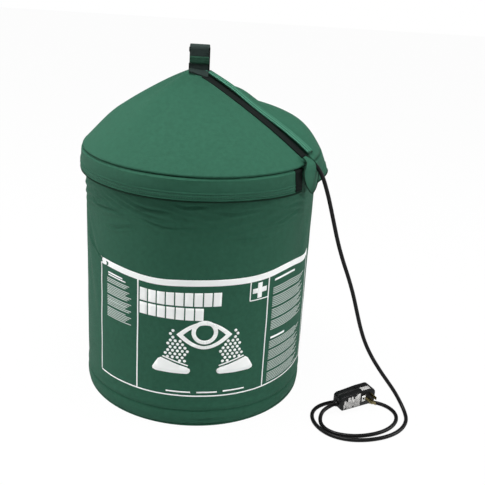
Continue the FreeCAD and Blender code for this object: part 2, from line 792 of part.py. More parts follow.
valve_half = S.valve_size / 2
valve_top = head_top + S.valve_size
valve_middle = head_top + valve_half
ball_seat = S.ball_radius + S.ball_gap
valve = new_body("valve_body", z=valve_middle)
block = draw(sketch_in(valve, "XY_Plane", -valve_half), box_corners(-valve_half, -valve_half, valve_half, valve_half))
pad(valve, block, S.valve_size)
flow = feature(valve, "Groove", draw(sketch_in(valve, "XZ_Plane"), [
    (0, -valve_half), (S.pipe_bore, -valve_half), (S.pipe_bore, valve_half), (0, valve_half),
]))
flow.ReferenceAxis = (flow.Profile[0], ["V_Axis"])
seat_end = root(ball_seat * ball_seat - S.pipe_bore * S.pipe_bore)
cavity = feature(valve, "Groove", draw(sketch_in(valve, "XZ_Plane"), [
    (S.pipe_bore, -seat_end), (S.pipe_bore, seat_end),
], arcs={0: (ball_seat, 1)}))
cavity.ReferenceAxis = (cavity.Profile[0], ["V_Axis"])
stem_hole = circle(sketch_in(valve, "XZ_Plane"), S.stem_radius + S.stem_gap)
pocket(valve, stem_hole, S.valve_size, backwards=True)

# The ball, its stem and the lever turn as one. The bore lies across the flow while the lever is level.
ball = new_body("valve_ball", z=valve_middle)
ball_end = root(S.ball_radius * S.ball_radius - S.pipe_bore * S.pipe_bore)
sphere = feature(ball, "Revolution", draw(sketch_in(ball, "XZ_Plane"), [
    (ball_end, S.pipe_bore), (-ball_end, S.pipe_bore),
], arcs={0: (S.ball_radius, 1)}))
sphere.ReferenceAxis = (sphere.Profile[0], ["H_Axis"])
socket = circle(sketch_in(ball, "XZ_Plane", S.ball_radius), S.stem_radius + S.stem_gap)
pocket(ball, socket, S.stem_depth)

stem = new_body("valve_stem", z=valve_middle)
stem_start = circle(sketch_in(stem, "XZ_Plane", S.ball_radius - S.stem_depth), S.stem_radius)
pad(stem, stem_start, valve_half - S.ball_radius + S.stem_depth + S.lever_stand)
lever = new_body("valve_lever", z=valve_middle)
lever_half = S.lever_width / 2
blade = draw(
    sketch_in(lever, "XZ_Plane", valve_half + S.lever_stand),
    box_corners(-lever_half, -lever_half, S.lever_length, lever_half),
)
pad(lever, blade, S.lever_thickness)

# ---- eyewash head -----------------------------------------------------------------------------------------------
yoke_middle = valve_top + S.yoke_rise
yoke_end = S.nozzle_spread + S.pipe_radius
yoke = new_body("eyewash_yoke", z=yoke_middle)
pad(yoke, circle(sketch_in(yoke, "YZ_Plane", -yoke_end), S.pipe_radius), yoke_end * 2)
pad(yoke, circle(sketch_in(yoke, "XY_Plane", -S.yoke_rise), S.yoke_foot), S.yoke_rise)
seats = sketch_in(yoke, "XY_Plane")
circle(seats, S.yoke_foot, S.nozzle_spread, 0)
circle(seats, S.yoke_foot, -S.nozzle_spread, 0)
pad(yoke, seats, S.pipe_radius)

NOZZLES = (("left", -1), ("right", 1))
nozzle_low = yoke_middle + S.pipe_radius
nozzle_top = nozzle_low + S.nozzle_height
rose_low = nozzle_top - S.rose_depth
nozzle_foot = S.nozzle_radius - S.nozzle_taper
bore_floor = nozzle_low + S.nozzle_floor
cap_low = nozzle_top + S.seat_gap
pivot_in = S.nozzle_radius + S.hinge_offset
pivot_height = cap_low + S.dust_cap_thickness / 2
ear_radius = S.hinge_pin_radius + S.ear_wall
ear_low = nozzle_top - S.bracket_drop
ear_out = S.ear_spread + S.ear_thickness
for name, side in NOZZLES:
    # Each nozzle carries the two ears and the pin of its cap's hinge on the side that faces the middle.
    way = 0 if side > 0 else 180
    nozzle = new_body(f"nozzle_{name}", x=S.nozzle_spread * side, turn=way)
    turned(nozzle, [
        (0, nozzle_low), (nozzle_foot, nozzle_low), (S.nozzle_radius, nozzle_top),
        (S.nozzle_bore, nozzle_top), (S.nozzle_bore - S.bore_taper, bore_floor), (0, bore_floor),
    ])
    bracket = draw(
        sketch_in(nozzle, "XY_Plane", ear_low),
        box_corners(-(pivot_in + ear_radius), -ear_out, -nozzle_foot, ear_out),
    )
    pad(nozzle, bracket, S.ear_thickness)
    for low in (-ear_out, S.ear_spread):
        ear = draw(
            sketch_in(nozzle, "XZ_Plane", low),
            box_corners(-(pivot_in + ear_radius), ear_low, -(pivot_in - ear_radius), pivot_height + ear_radius),
        )
        pad(nozzle, ear, S.ear_thickness)
    pad(nozzle, circle(
        sketch_in(nozzle, "XZ_Plane", -ear_out), S.hinge_pin_radius, -pivot_in, pivot_height,
    ), ear_out * 2)
    ring(
        f"nozzle_rose_{name}", 0, S.nozzle_bore - S.rose_gap, rose_low, rose_low + S.rose_thickness,
        x=S.nozzle_spread * side,
    )
    cap_body = new_body(f"dust_cap_{name}", x=(S.nozzle_spread - pivot_in) * side, turn=way)
    disc = sketch_in(cap_body, "XY_Plane", cap_low)
    circle(disc, S.nozzle_radius, pivot_in, 0)
    pad(cap_body, disc, S.dust_cap_thickness)
    tab = draw(
        sketch_in(cap_body, "XY_Plane", cap_low), box_corners(0, -S.knuckle_half, S.tab_length, S.knuckle_half),
    )
    pad(cap_body, tab, S.dust_cap_thickness)
    knuckle = circle(sketch_in(cap_body, "XZ_Plane", -S.knuckle_half), ear_radius - S.knuckle_inset, 0, pivot_height)
    pad(cap_body, knuckle, S.knuckle_half * 2)
    pin_hole = circle(
        sketch_in(cap_body, "XZ_Plane", -S.knuckle_half), S.hinge_pin_radius + S.hinge_gap, 0, pivot_height,
    )
    pocket(cap_body, pin_hole, S.knuckle_half * 2, backwards=True)

# ---- mains lead -------------------------------------------------------------------------------------------------
start = Vector(
    (S.cord_start * cord_x).value, (S.cord_start * cord_y).value, S.cord_start_height.value,
)
route = [start] + [Vector(*point) for point in CORD_ROUTE]


def rounded_path(points):
    """Straight runs joined by tangent arcs, with the arcs' radii."""
    edges, radii = [], []
    here = points[0]
    for before, corner, after in zip(points, points[1:], points[2:]):
        into = (corner - before).normalize()
        away = (after - corner).normalize()
        turn = into.getAngle(away)
        reach = ARC_SHARE * min(corner.distanceToPoint(before), corner.distanceToPoint(after))
        radius = reach / math.tan(turn / 2)
        first, last = corner - into * reach, corner + away * reach
        inward = (away - into).normalize()
        middle = corner + inward * (radius / math.cos(turn / 2) - radius)
        edges.append(Part.LineSegment(here, first).toShape())
        edges.append(Part.Arc(first, middle, last).toShape())
        radii.append(radius)
        here = last
    edges.append(Part.LineSegment(here, points[-1]).toShape())
    return Part.Wire(edges), radii


path, radii = rounded_path(route)
section = Part.Wire(Part.Circle(route[0], route[1] - route[0], S.cord_radius.value).toShape())
tube = path.makePipeShell([section], True, False)
cord = doc.addObject("Part::Feature", "power_cord")
cord.Label = "power_cord"
cord.Shape = tube
sub_parts.append(cord)
print("cord length", round(path.Length, 1), "radii", [round(radius) for radius in radii])
print("volume ratio", round(tube.Volume / (math.pi * S.cord_radius.value ** 2 * path.Length), 4))

# ---- plug with its residual-current breaker ---------------------------------------------------------------------
plug_way = Vector(math.cos(math.radians(S.plug_turn.value)), math.sin(math.radians(S.plug_turn.value)), 0)
plug_back = Vector(-plug_way.y, plug_way.x, 0)
plug_corner = (
    route[-1] + plug_way * S.boot_length.value - plug_back * S.boot_seat.value - Vector(0, 0, S.boot_height.value)
)
PLUG_SPIN = Rotation(Vector(0, 0, 1), S.plug_turn.value)


def plug_body(label, x=0, y=0, z=0, tilt=None):
    """A body of the plug, placed from the plug's lower front left corner, with X along its length."""
    at = plug_corner + PLUG_SPIN.multVec(Vector(size(x).value, size(y).value, size(z).value))
    return new_body(label, at.x, at.y, at.z, rotation=PLUG_SPIN * tilt if tilt else PLUG_SPIN)


half_width = S.plug_width / 2
c = S.plug_corner
low_left = S.plug_height - S.plug_taper
outline = [
    (c, 0), (S.plug_length - c, 0), (S.plug_length, c), (S.plug_length, S.plug_height - c * 2),
    (S.plug_length - c * 2, S.plug_height), (c, low_left), (0, low_left - c), (0, c),
]
outline_arcs = {1: (c, 1), 3: (c * 2, 1), 7: (c, 1)}
cavity_low_x, cavity_high_x = S.plug_wall * 3, S.plug_length - S.plug_wall * 3
cavity_low_z, cavity_high_z = S.plug_wall, low_left - S.plug_wall
screw_right = S.plug_length - S.screw_right
screw_places = [
    (S.screw_left, S.screw_left_low), (S.screw_left, low_left - S.screw_top),
    (screw_right, S.screw_right_low), (screw_right, low_left - S.screw_top),
]
blade_places = [(S.blade_spot, S.blade_height), (S.blade_spot, S.blade_height + S.blade_spacing)]
ground_place = (S.blade_spot - S.ground_offset, S.blade_height + S.blade_spacing / 2)
button_y = half_width + S.button_offset

front = plug_body("plug_housing_front", y=half_width)
pad(front, draw(sketch_in(front, "XZ_Plane"), outline, outline_arcs), half_width)
hollow = draw(sketch_in(front, "XZ_Plane"), box_corners(cavity_low_x, cavity_low_z, cavity_high_x, cavity_high_z))
pocket(front, hollow, half_width - S.plug_wall, backwards=True)
back = plug_body("plug_housing_back", y=half_width)
pad(back, draw(sketch_in(back, "XZ_Plane"), outline, outline_arcs), half_width, backwards=True)
hollow = draw(sketch_in(back, "XZ_Plane"), box_corners(cavity_low_x, cavity_low_z, cavity_high_x, cavity_high_z))
pocket(back, hollow, half_width - S.plug_wall)

for part_body, backwards in ((front, True), (back, False)):
    holes = sketch_in(part_body, "XZ_Plane")
    for x, z in screw_places:
        circle(holes, S.screw_radius, x, z)
    pocket(part_body, holes, half_width - S.plug_wall, backwards=backwards)
through = sketch_in(back, "XZ_Plane", -half_width)
for x, z in screw_places:
    circle(through, S.screw_head, x, z)
pocket(back, through, S.plug_wall, backwards=True)
for x, z in blade_places:
    slot = draw(sketch_in(front, "XZ_Plane", half_width), box_corners(
        x - S.blade_thickness / 2, z - S.blade_width / 2, x + S.blade_thickness / 2, z + S.blade_width / 2,
    ))
    pocket(front, slot, S.plug_wall)
ground_hole = circle(sketch_in(front, "XZ_Plane", half_width), S.ground_radius + S.seat_gap, *ground_place)
pocket(front, ground_hole, S.plug_wall)

board_front = S.plug_wall + S.board_gap
for name, (x, z) in zip(("line_blade", "neutral_blade"), blade_places):
    contact = plug_body(name, x=x, y=board_front, z=z)
    flat = draw(sketch_in(contact, "XZ_Plane"), box_corners(
        -S.blade_thickness / 2, -S.blade_width / 2, S.blade_thickness / 2, S.blade_width / 2,
    ))
    pad(contact, flat, board_front + S.blade_length)
ground = plug_body("ground_pin", x=ground_place[0], y=board_front, z=ground_place[1])
pad(ground, circle(sketch_in(ground, "XZ_Plane"), S.ground_radius), board_front + S.blade_length + S.ground_extra)

board = plug_body("breaker_board", y=board_front)
card = draw(
    sketch_in(board, "XZ_Plane"),
    box_corners(
        cavity_low_x + S.board_clearance, cavity_low_z + S.board_clearance,
        cavity_high_x - S.board_clearance, cavity_high_z - S.board_clearance,
    ),
)
pad(board, card, S.board_thickness, backwards=True)
relay = draw(
    sketch_in(board, "XZ_Plane", -S.board_thickness),
    box_corners(
        cavity_low_x + S.relay_inset, cavity_low_z + S.relay_inset,
        cavity_low_x + S.relay_inset + S.relay_length, cavity_high_z - S.relay_drop,
    ),
)
pad(board, relay, S.relay_height, backwards=True)

button_low = cavity_high_z - S.button_sink
button_high = S.plug_height + S.button_stand
for name, spot in (("test_button", S.test_spot), ("reset_button", S.reset_spot)):
    button = plug_body(name, x=spot, y=button_y)
    top = draw(sketch_in(button, "XY_Plane", button_low), box_corners(
        -S.button_length / 2, -S.button_width / 2, S.button_length / 2, S.button_width / 2,
    ))
    pad(button, top, button_high - button_low)
    well_x, well_y = S.button_length / 2 + S.button_gap, S.button_width / 2 + S.button_gap
    offset_y = button_y - half_width
    well = draw(
        sketch_in(back, "XY_Plane", cavity_high_z - S.board_clearance),
        box_corners(spot - well_x, offset_y - well_y, spot + well_x, offset_y + well_y),
    )
    pocket(back, well, S.plug_height, backwards=True)

boot = plug_body("cord_boot", y=S.boot_seat, z=S.boot_height, tilt=Rotation(Vector(0, 1, 0), -90))
turned(boot, [(0, 0), (S.boot_radius, 0), (S.cord_radius + S.boot_wall, S.boot_length), (0, S.boot_length)])

screws = plug_body("plug_screws", y=S.plug_width - S.plug_wall)
head_spots = sketch_in(screws, "XZ_Plane")
shank_spots = sketch_in(screws, "XZ_Plane")
for x, z in screw_places:
    circle(head_spots, S.screw_head - S.seat_gap, x, z)
    circle(shank_spots, S.screw_radius - S.seat_gap, x, z)
pad(screws, head_spots, S.plug_wall - S.screw_sink, backwards=True)
pad(screws, shank_spots, S.plug_width - S.plug_wall * 2)

plates = plug_body("plug_plates")
side_plate = draw(sketch_in(plates, "XZ_Plane"), box_corners(
    S.plate_left, S.plate_low, S.plate_right, low_left - S.plate_drop,
))
pad(plates, side_plate, S.label_thickness)

# ---- check and export ---------------------------------------------------------------------------------------
doc.recompute()
faults = [f"{item.Label}: {item.State}" for item in doc.Objects if {"Invalid", "Error"} & set(item.State)]
for item in sub_parts:
    shape = item.Shape
    if shape.isNull() or not shape.isValid() or not shape.Solids:
        faults.append(f"{item.Label}: no valid solid")
if faults:
    raise RuntimeError("; ".join(faults))
os.makedirs("parts", exist_ok=True)
for item in sub_parts:
    item.Shape.exportStep(f"parts/{item.Label}.step")
    print(f"{item.Label:22s} solids {len(item.Shape.Solids)} volume {item.Shape.Volume:12.1f}")
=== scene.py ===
"""The looks of a portable eyewash tank in a heated cloth jacket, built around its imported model.

Metres and degrees. +Z is up, -Y is the front, and an azimuth is counted from +X towards +Y.
"""
import json
import math

import bmesh
import bpy
from mathutils import Matrix, Vector, noise


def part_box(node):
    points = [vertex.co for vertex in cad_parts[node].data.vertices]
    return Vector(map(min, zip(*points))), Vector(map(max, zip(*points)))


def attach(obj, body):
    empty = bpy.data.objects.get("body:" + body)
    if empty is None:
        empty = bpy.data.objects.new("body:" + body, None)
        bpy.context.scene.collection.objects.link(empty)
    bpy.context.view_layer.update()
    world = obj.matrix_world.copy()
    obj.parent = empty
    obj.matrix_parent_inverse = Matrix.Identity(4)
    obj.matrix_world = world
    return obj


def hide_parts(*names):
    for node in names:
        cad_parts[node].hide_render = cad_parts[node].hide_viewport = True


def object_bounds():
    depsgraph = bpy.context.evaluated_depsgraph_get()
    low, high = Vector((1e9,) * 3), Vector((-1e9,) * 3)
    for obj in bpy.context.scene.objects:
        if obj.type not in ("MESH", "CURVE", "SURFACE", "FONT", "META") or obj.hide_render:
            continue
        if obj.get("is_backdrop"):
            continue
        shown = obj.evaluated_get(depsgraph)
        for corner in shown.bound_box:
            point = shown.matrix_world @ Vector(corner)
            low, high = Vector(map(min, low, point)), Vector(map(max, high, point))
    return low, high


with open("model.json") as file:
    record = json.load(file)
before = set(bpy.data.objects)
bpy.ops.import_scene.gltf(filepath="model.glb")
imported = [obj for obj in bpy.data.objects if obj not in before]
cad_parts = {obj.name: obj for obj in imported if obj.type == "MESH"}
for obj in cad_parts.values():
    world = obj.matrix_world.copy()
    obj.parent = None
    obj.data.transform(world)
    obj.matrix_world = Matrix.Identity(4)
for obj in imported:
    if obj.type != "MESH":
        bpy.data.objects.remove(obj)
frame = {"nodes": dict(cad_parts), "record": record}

bl_info = {
    "name": "Heated eyewash jacket",
    "version": (1, 0, 0),
    "blender": (4, 5, 0),
    "location": "3D View > Sidebar > Eyewash",
    "description": "Builds the cloth, the print, the lead and the finishes of a heated eyewash jacket",
    "category": "Object",
}

CAD_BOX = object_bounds()
MM = 0.001
# The lid's slit and the lead lie on this azimuth.
SLIT = -25.0
# The heating blanket reaches from the first azimuth to the second.
HEATER_TURN = (185.0, 485.0)

# The skirt hangs open between these azimuths, beside the lead.
SKIRT_OPEN = (-35.5, -22.5)

# The outer faces of the wall, the lining and the lid, each in by its own clearance.
WALL_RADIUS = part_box("jacket_shell")[1].x
WALL_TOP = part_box("jacket_shell")[1].z
LINER_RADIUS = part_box("jacket_liner")[1].x - 1.4 * MM
RIM_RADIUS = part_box("lid_cone")[1].x - 1.2 * MM
RIM_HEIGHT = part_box("lid_cone")[0].z + 4 * MM
HEM_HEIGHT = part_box("lid_skirt")[0].z
APEX = Vector((-0.019, 0, RIM_HEIGHT + 144 * MM))

# The lead's route in millimetres: out over the rim, down the side, twice round the floor and under its
# own plug.
LEAD_START = (203.0, -94.7, 520.0)
LEAD_ROUTE = [
    (212.9, -99.3, 514.9), (221.7, -103.4, 507.9), (229.6, -107.0, 498.2), (236.1, -110.1, 486.2),
    (242.4, -112.1, 469.6), (249.5, -111.5, 449.0), (257.0, -109.0, 424.0), (266.0, -107.5, 393.0),
    (277.0, -106.0, 356.0),
    (290.5, -107.0, 319.0), (305.5, -107.5, 283.0), (318.5, -107.0, 247.0), (329.0, -108.5, 212.0),
    (339.5, -109.0, 178.0), (352.5, -110.0, 144.0), (371.0, -110.5, 110.0), (394.0, -111.5, 77.0),
    (411.0, -112.3, 55.0), (428.1, -112.0, 31.7), (440.5, -124.3, 14.3), (447.6, -145.7, 4.3),
    (446.0, -172.0, 4.3), (434.0, -199.0, 4.3), (414.0, -221.0, 4.3), (387.0, -237.0, 4.3),
    (355.0, -247.0, 4.3), (322.0, -249.5, 4.3), (291.0, -241.0, 4.3), (268.0, -222.0, 4.3),
    (254.0, -194.0, 4.3), (253.0, -165.0, 4.3), (266.0, -141.0, 4.3), (289.0, -124.5, 4.3),
    (318.0, -115.0, 4.3), (348.0, -110.5, 4.3), (376.0, -110.0, 4.3), (401.0, -116.0, 4.3),
    (419.0, -131.0, 4.3), (428.0, -153.0, 4.3), (424.0, -178.0, 4.3), (409.0, -201.0, 4.3),
    (387.0, -218.5, 4.3), (360.0, -230.5, 4.3), (331.0, -236.5, 4.3), (299.7, -233.0, 4.3),
    (280.3, -221.7, 4.3), (269.0, -202.2, 4.3), (269.0, -179.8, 8.5), (280.3, -160.3, 15.0),
    (299.8, -149.0, 18.2),
]
PLUG_TURN = 29.6
PLUG_SIZE = Vector((86, 28, 36)) * MM
# From the lead's last point to the plug's lower front left corner, along the plug, across it and up.
PLUG_CORNER = Vector((4, -16.4, -9.5)) * MM


# The size that a tape's weave is laid out for, round it and along it.
TAPE_GIRTH, TAPE_RUN = 0.05, 0.2


# ---- small helpers -------------------------------------------------------------------------------
def linear(colour):
    """An sRGB hex colour as linear red, green, blue and alpha."""
    channels = [int(colour[i:i + 2], 16) / 255 for i in (1, 3, 5)]
    return tuple(c / 12.92 if c <= 0.04045 else ((c + 0.055) / 1.055) ** 2.4 for c in channels) + (1.0,)


def chosen(colour):
    """A colour from the sidebar as red, green, blue and alpha."""
    return tuple(colour) + (1.0,)


def smooth(low, high, value):
    """0 below low, 1 above high and a soft step between."""
    share = min(1.0, max(0.0, (value - low) / (high - low)))
    return share * share * (3 - 2 * share)


def hump(value, middle, width):
    """1 at the middle, falling off smoothly to both sides."""
    return math.exp(-((value - middle) / width) ** 2)


def turn_between(azimuth, middle):
    """How far an azimuth is from another, from -180 to 180."""
    return (azimuth - middle + 180) % 360 - 180


def around(radius, azimuth, height):
    """The point at that radius, azimuth and height."""
    angle = math.radians(azimuth)
    return Vector((radius * math.cos(angle), radius * math.sin(angle), height))


def add(tree, kind, inputs=None, **settings):
    """Adds a node. An input takes a plain value or the socket that feeds it."""
    made = tree.nodes.new(kind)
    for name, value in settings.items():
        setattr(made, name, value)
    for name, value in (inputs or {}).items():
        if isinstance(value, bpy.types.NodeSocket):
            tree.links.new(value, made.inputs[name])
        else:
            made.inputs[name].default_value = value
    return made


def new_piece(name, mesh, material, body, nodes=()):
    """Links a finished mesh to the scene, gives it its material, and ties it to the frame."""
    piece = bpy.data.objects.new(name, mesh)
    bpy.context.scene.collection.objects.link(piece)
    if material:
        mesh.materials.clear()
        mesh.materials.append(material)
    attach(piece, body)
    if nodes:
        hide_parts(*nodes)
    return piece


def apply_modifiers(piece):
    """Turns a piece with modifiers into a plain mesh."""
    depsgraph = bpy.context.evaluated_depsgraph_get()
    plain = bpy.data.meshes.new_from_object(piece.evaluated_get(depsgraph))
    piece.modifiers.clear()
    piece.data = plain
    return plain


def finished_mesh(mesh, thickness=0.0, offset=-1.0, bevel=0.0, levels=0):
    """The mesh with a wall's thickness, rounded edges and subdivision, as a plain mesh with smooth faces."""
    helper = bpy.data.objects.new("helper", mesh)
    bpy.context.scene.collection.objects.link(helper)
    if thickness:
        wall = helper.modifiers.new("wall", "SOLIDIFY")
        wall.thickness, wall.offset, wall.use_even_offset = thickness, offset, False
    if bevel:
        edge = helper.modifiers.new("edge", "BEVEL")
        edge.width, edge.segments, edge.limit_method = bevel, 3, "ANGLE"
        edge.angle_limit = math.radians(35)
    if levels:
        finer = helper.modifiers.new("finer", "SUBSURF")
        finer.levels = finer.render_levels = levels
    plain = apply_modifiers(helper)
    bpy.data.objects.remove(helper)
    for face in plain.polygons:
        face.use_smooth = True
    return plain


def grid_mesh(name, across, up, place, flat, closed=False):
    """A grid of faces. place gives a point for two shares from 0 to 1, and flat its spot on the cloth."""
    columns = across if closed else across + 1
    points = [place(i / across, j / up) for j in range(up + 1) for i in range(columns)]
    faces, spots = [], []
    for j in range(up):
        for i in range(across):
            following = (i + 1) % columns
            faces.append((
                j * columns + i, j * columns + following,
                (j + 1) * columns + following, (j + 1) * columns + i,
            ))
            for di, dj in ((0, 0), (1, 0), (1, 1), (0, 1)):
                spots.append(flat((i + di) / across, (j + dj) / up))
    mesh = bpy.data.meshes.new(name)
    mesh.from_pydata(points, [], faces)
    layer = mesh.uv_layers.new(name="cloth")
    layer.data.foreach_set("uv", [value for spot in spots for value in spot])
    mesh.update()
    return mesh


def open_edges(work):
    """The edges round a mesh's openings."""
    return [edge for edge in work.edges if edge.is_boundary]


def close_up(mesh, close):
    """Runs close on the mesh's bmesh and turns its faces outwards."""
    work = bmesh.new()
    work.from_mesh(mesh)
    close(work)
    bmesh.ops.recalc_face_normals(work, faces=work.faces)
    work.to_mesh(mesh)
    work.free()


def tape_mesh(name, steps, centre, side, up, half_width, thickness, rounded=0.35):
    """A flat tape swept along centre(s), with its sides along side(s) and its upper face towards up(s)."""
    sides = 16
    profile = []
    for k in range(sides):
        angle = math.tau * k / sides
        x, z = math.cos(angle), math.sin(angle)
        profile.append((math.copysign(abs(x) ** rounded, x), math.copysign(abs(z) ** rounded, z)))

    def place(a, b):
        x, z = profile[round(a * sides) % sides]
        width = half_width(b) if callable(half_width) else half_width
        return centre(b) + side(b) * (x * width) + up(b) * (z * thickness / 2)

    mesh = grid_mesh(name, sides, steps, place, lambda a, b: (a * TAPE_GIRTH, b * TAPE_RUN), closed=True)
    close_up(mesh, lambda work: bmesh.ops.holes_fill(work, edges=open_edges(work), sides=0))
    for face in mesh.polygons:
        face.use_smooth = True
    return mesh


# ---- shapes of the cloth -------------------------------------------------------------------------
# The seam round the wall's base: its height and how far that wanders, in mm.
SEAM_HEIGHT, SEAM_WANDER = 31, 3.5
# Folds in the wall below the lid: azimuth, height, rise per degree round the wall, wavelength and depth in
# mm, and width in degrees.
WALL_FOLDS = (
    (-150, 428, 0.9, 17, 2.0, 20), (-128, 440, -1.0, 11, 1.5, 18), (-104, 431, -0.7, 14, 1.3, 20),
    (-66, 420, 0.8, 20, 1.2, 24), (-36, 433, -0.9, 15, 1.0, 16), (50, 430, 1.0, 17, 1.6, 30),
    (140, 426, -1.0, 19, 1.6, 30),
)
# Long soft pulls: azimuth at PULL_HEIGHT, degrees per mm of height, width in degrees, and depth, height and
# its spread in mm.
PULL_HEIGHT = 330
WALL_PULLS = (
    (-149, -0.19, 3.0, 2.4, 365, 60), (-163, -0.10, 4.0, 2.0, 300, 130), (-97, 0.12, 6.0, 1.0, 375, 50),
    (-28, 0.09, 5.0, 1.6, 350, 90), (-12, 0.02, 4.0, 1.5, 240, 170), (120, 0.1, 6.0, 2.0, 300, 120),
)
# Sharp creases: azimuth and height in mm of both ends, depth in mm.
WALL_CREASES = (
    (-119, 448, -97, 439, 2.4), (-98, 461, -84, 455, 2.0), (-149, 424, -124, 419, 2.2),
    (-160, 352, -136, 303, 2.6), (-111, 421, -89, 411, 1.8), (-80, 450, -57, 444, 1.8),
    (-56, 416, -30, 425, 1.6), (-46, 450, -33, 438, 1.6), (-135, 388, -118, 399, 1.4),
    (-72, 398, -50, 392, 1.2), (40, 430, 70, 445, 2.0), (95, 440, 125, 425, 2.0),
    (150, 430, 178, 441, 2.0), (5, 440, 30, 428, 2.0),
)
# Facets of the lid: azimuth, width in degrees, height in mm, and where between apex and rim they are
# strongest.
LID_FACETS = (
    (-133, 12, 4.5, 0.45), (-158, 15, -4.0, 0.36), (170, 24, -6.5, 0.28), (-80, 34, -4.0, 0.5),
    (178, 26, 5.0, 0.7), (SLIT, 26, -9.0, 0.45), (130, 30, 3.0, 0.5), (90, 22, -4.0, 0.5),
)
# How far the lid is crowned, how far its left side hangs and how far the fold past the slit stands up, in mm.
LID_CROWN, LEFT_DROP, FOLD_RISE = 62.8, 8, 15
# The fold past the slit starts at this share of the way from the apex to the rim.
FOLD_START = 0.58
# Dips past the slit, and the deeper ones behind them: share of the way to the rim, width and depth in mm.
NEAR_DIPS = ((0.26, 0.08, 4), (0.52, 0.1, 5))
FAR_DIPS = ((0.3, 0.12, 6), (0.46, 0.14, 8))
# The skirt's two sunken rows of stitches, as shares of its height.
HEM_ROWS = (0.75, 0.91)
# How far the skirt stands out and lifts behind the lead, in mm.
SKIRT_FLARE, SKIRT_LIFT = 13, 7


def crease_depth(azimuth, up):
    """How far the sharp creases pull the wall in at a place, in mm."""
    total = 0.0
    for start, low, stop, high, depth in WALL_CREASES:
        share = (azimuth - start) / (stop - start)
        if -0.15 < share < 1.15:
            # Each crease bows a little and runs out at its ends.
            away = up - (low + (high - low) * share) + 3 * math.sin(share * 5)
            ends = smooth(-0.15, 0.25, share) * (1 - smooth(0.75, 1.15, share))
            # It is a narrow groove between two soft swellings, the larger one below it.
            groove = hump(away, 0, 1.7) - 0.55 * hump(away, -4.5, 3) - 0.3 * hump(away, 5, 4)
            total += 1.5 * depth * ends * groove
    return total


def wall_radius(azimuth, height):
    """The jacket wall's outer radius: stuffed cloth with a seam above its base and creases below the lid."""
    settings = bpy.context.scene.eyewash_jacket
    up = height / MM
    # The filling makes broad swells with fine unevenness on them.
    radius = WALL_RADIUS + 1.3 * MM * noise.noise(around(1.7, azimuth, height * 6))
    radius += 0.5 * MM * noise.noise(around(5.5, azimuth, height * 22))
    # The base seam pulls the cloth in, with a bulge above it and one below.
    seam = SEAM_HEIGHT + SEAM_WANDER * math.cos(math.radians(turn_between(azimuth, -95) * 2))
    radius -= settings.seam_depth * hump(up, seam, 1.9)
    radius += 1.4 * MM * hump(up, seam + 9, 7)
    if up < seam:
        radius += 1.8 * MM * math.sin(math.pi * up / seam)
    # A short crease runs below the seam in front, and the bottom edge is rounded.
    radius -= 1.8 * MM * hump(turn_between(azimuth, -80), 0, 8) * hump(up, 14, 1.6)
    radius -= 5 * MM * (1 - smooth(0, 8, up)) ** 2
    for middle, level, rise, length, depth, width in WALL_FOLDS:
        away = turn_between(azimuth, middle)
        phase = (up - level - rise * away) / length * math.tau
        radius += depth * MM * math.sin(phase) * hump(up, level, length * 1.5) * hump(away, 0, width)
    for middle, lean, width, depth, level, spread in WALL_PULLS:
        away = turn_between(azimuth, middle + (up - PULL_HEIGHT) * lean)
        fold = hump(away, 0, width) - 0.6 * hump(away, width * 1.7, width)
        radius -= depth * MM * fold * hump(up, level, spread)
    radius -= crease_depth(turn_between(azimuth, 0), up) * MM
    # The cloth sinks a little below the skirt, which lies over it.
    radius -= 2.2 * MM * smooth(448, 472, up)
    return radius


def left_side(azimuth):
    """1 at the lid's left, falling off to both sides."""
    return hump(turn_between(azimuth, 180), 0, 42)


def lid_point(azimuth, share):
    """A point on the lid's outer cloth, from the apex at 0 to the rim at 1."""
    rear = turn_between(azimuth, SLIT)
    # The flap's half of the lid, just past the slit, dips and then stands up over its edge.
    lifted = (smooth(0, 14, rear) * (1 - smooth(62, 100, rear))) if rear > 0 else 0
    point = APEX.lerp(around(RIM_RADIUS, azimuth, RIM_HEIGHT), share)
    rise = LID_CROWN * share * (1 - share)
    for middle, width, height, strongest in LID_FACETS:
        reach = strongest if share < strongest else 1 - strongest
        along = math.cos(math.pi * (share - strongest) / reach / 2)
        rise += height * hump(turn_between(azimuth, middle), 0, width) * along
    rise -= LEFT_DROP * left_side(azimuth) * smooth(0.7, 1, share)
    rise -= lifted * sum(depth * hump(share, at, width) for at, width, depth in NEAR_DIPS)
    # Farther round, past the right nozzle's open cap, it sinks deeper.
    deep = smooth(36, 56, rear) * (1 - smooth(75, 110, rear)) if rear > 0 else 0
    rise -= deep * sum(depth * hump(share, at, width) for at, width, depth in FAR_DIPS)
    if share > FOLD_START:
        rise += FOLD_RISE * lifted * math.sin(math.pi * ((share - FOLD_START) / 0.42) ** 1.8)
    rise += 2.2 * noise.noise(point * 8) * math.sin(math.pi * share)
    point.z += rise * MM
    return point


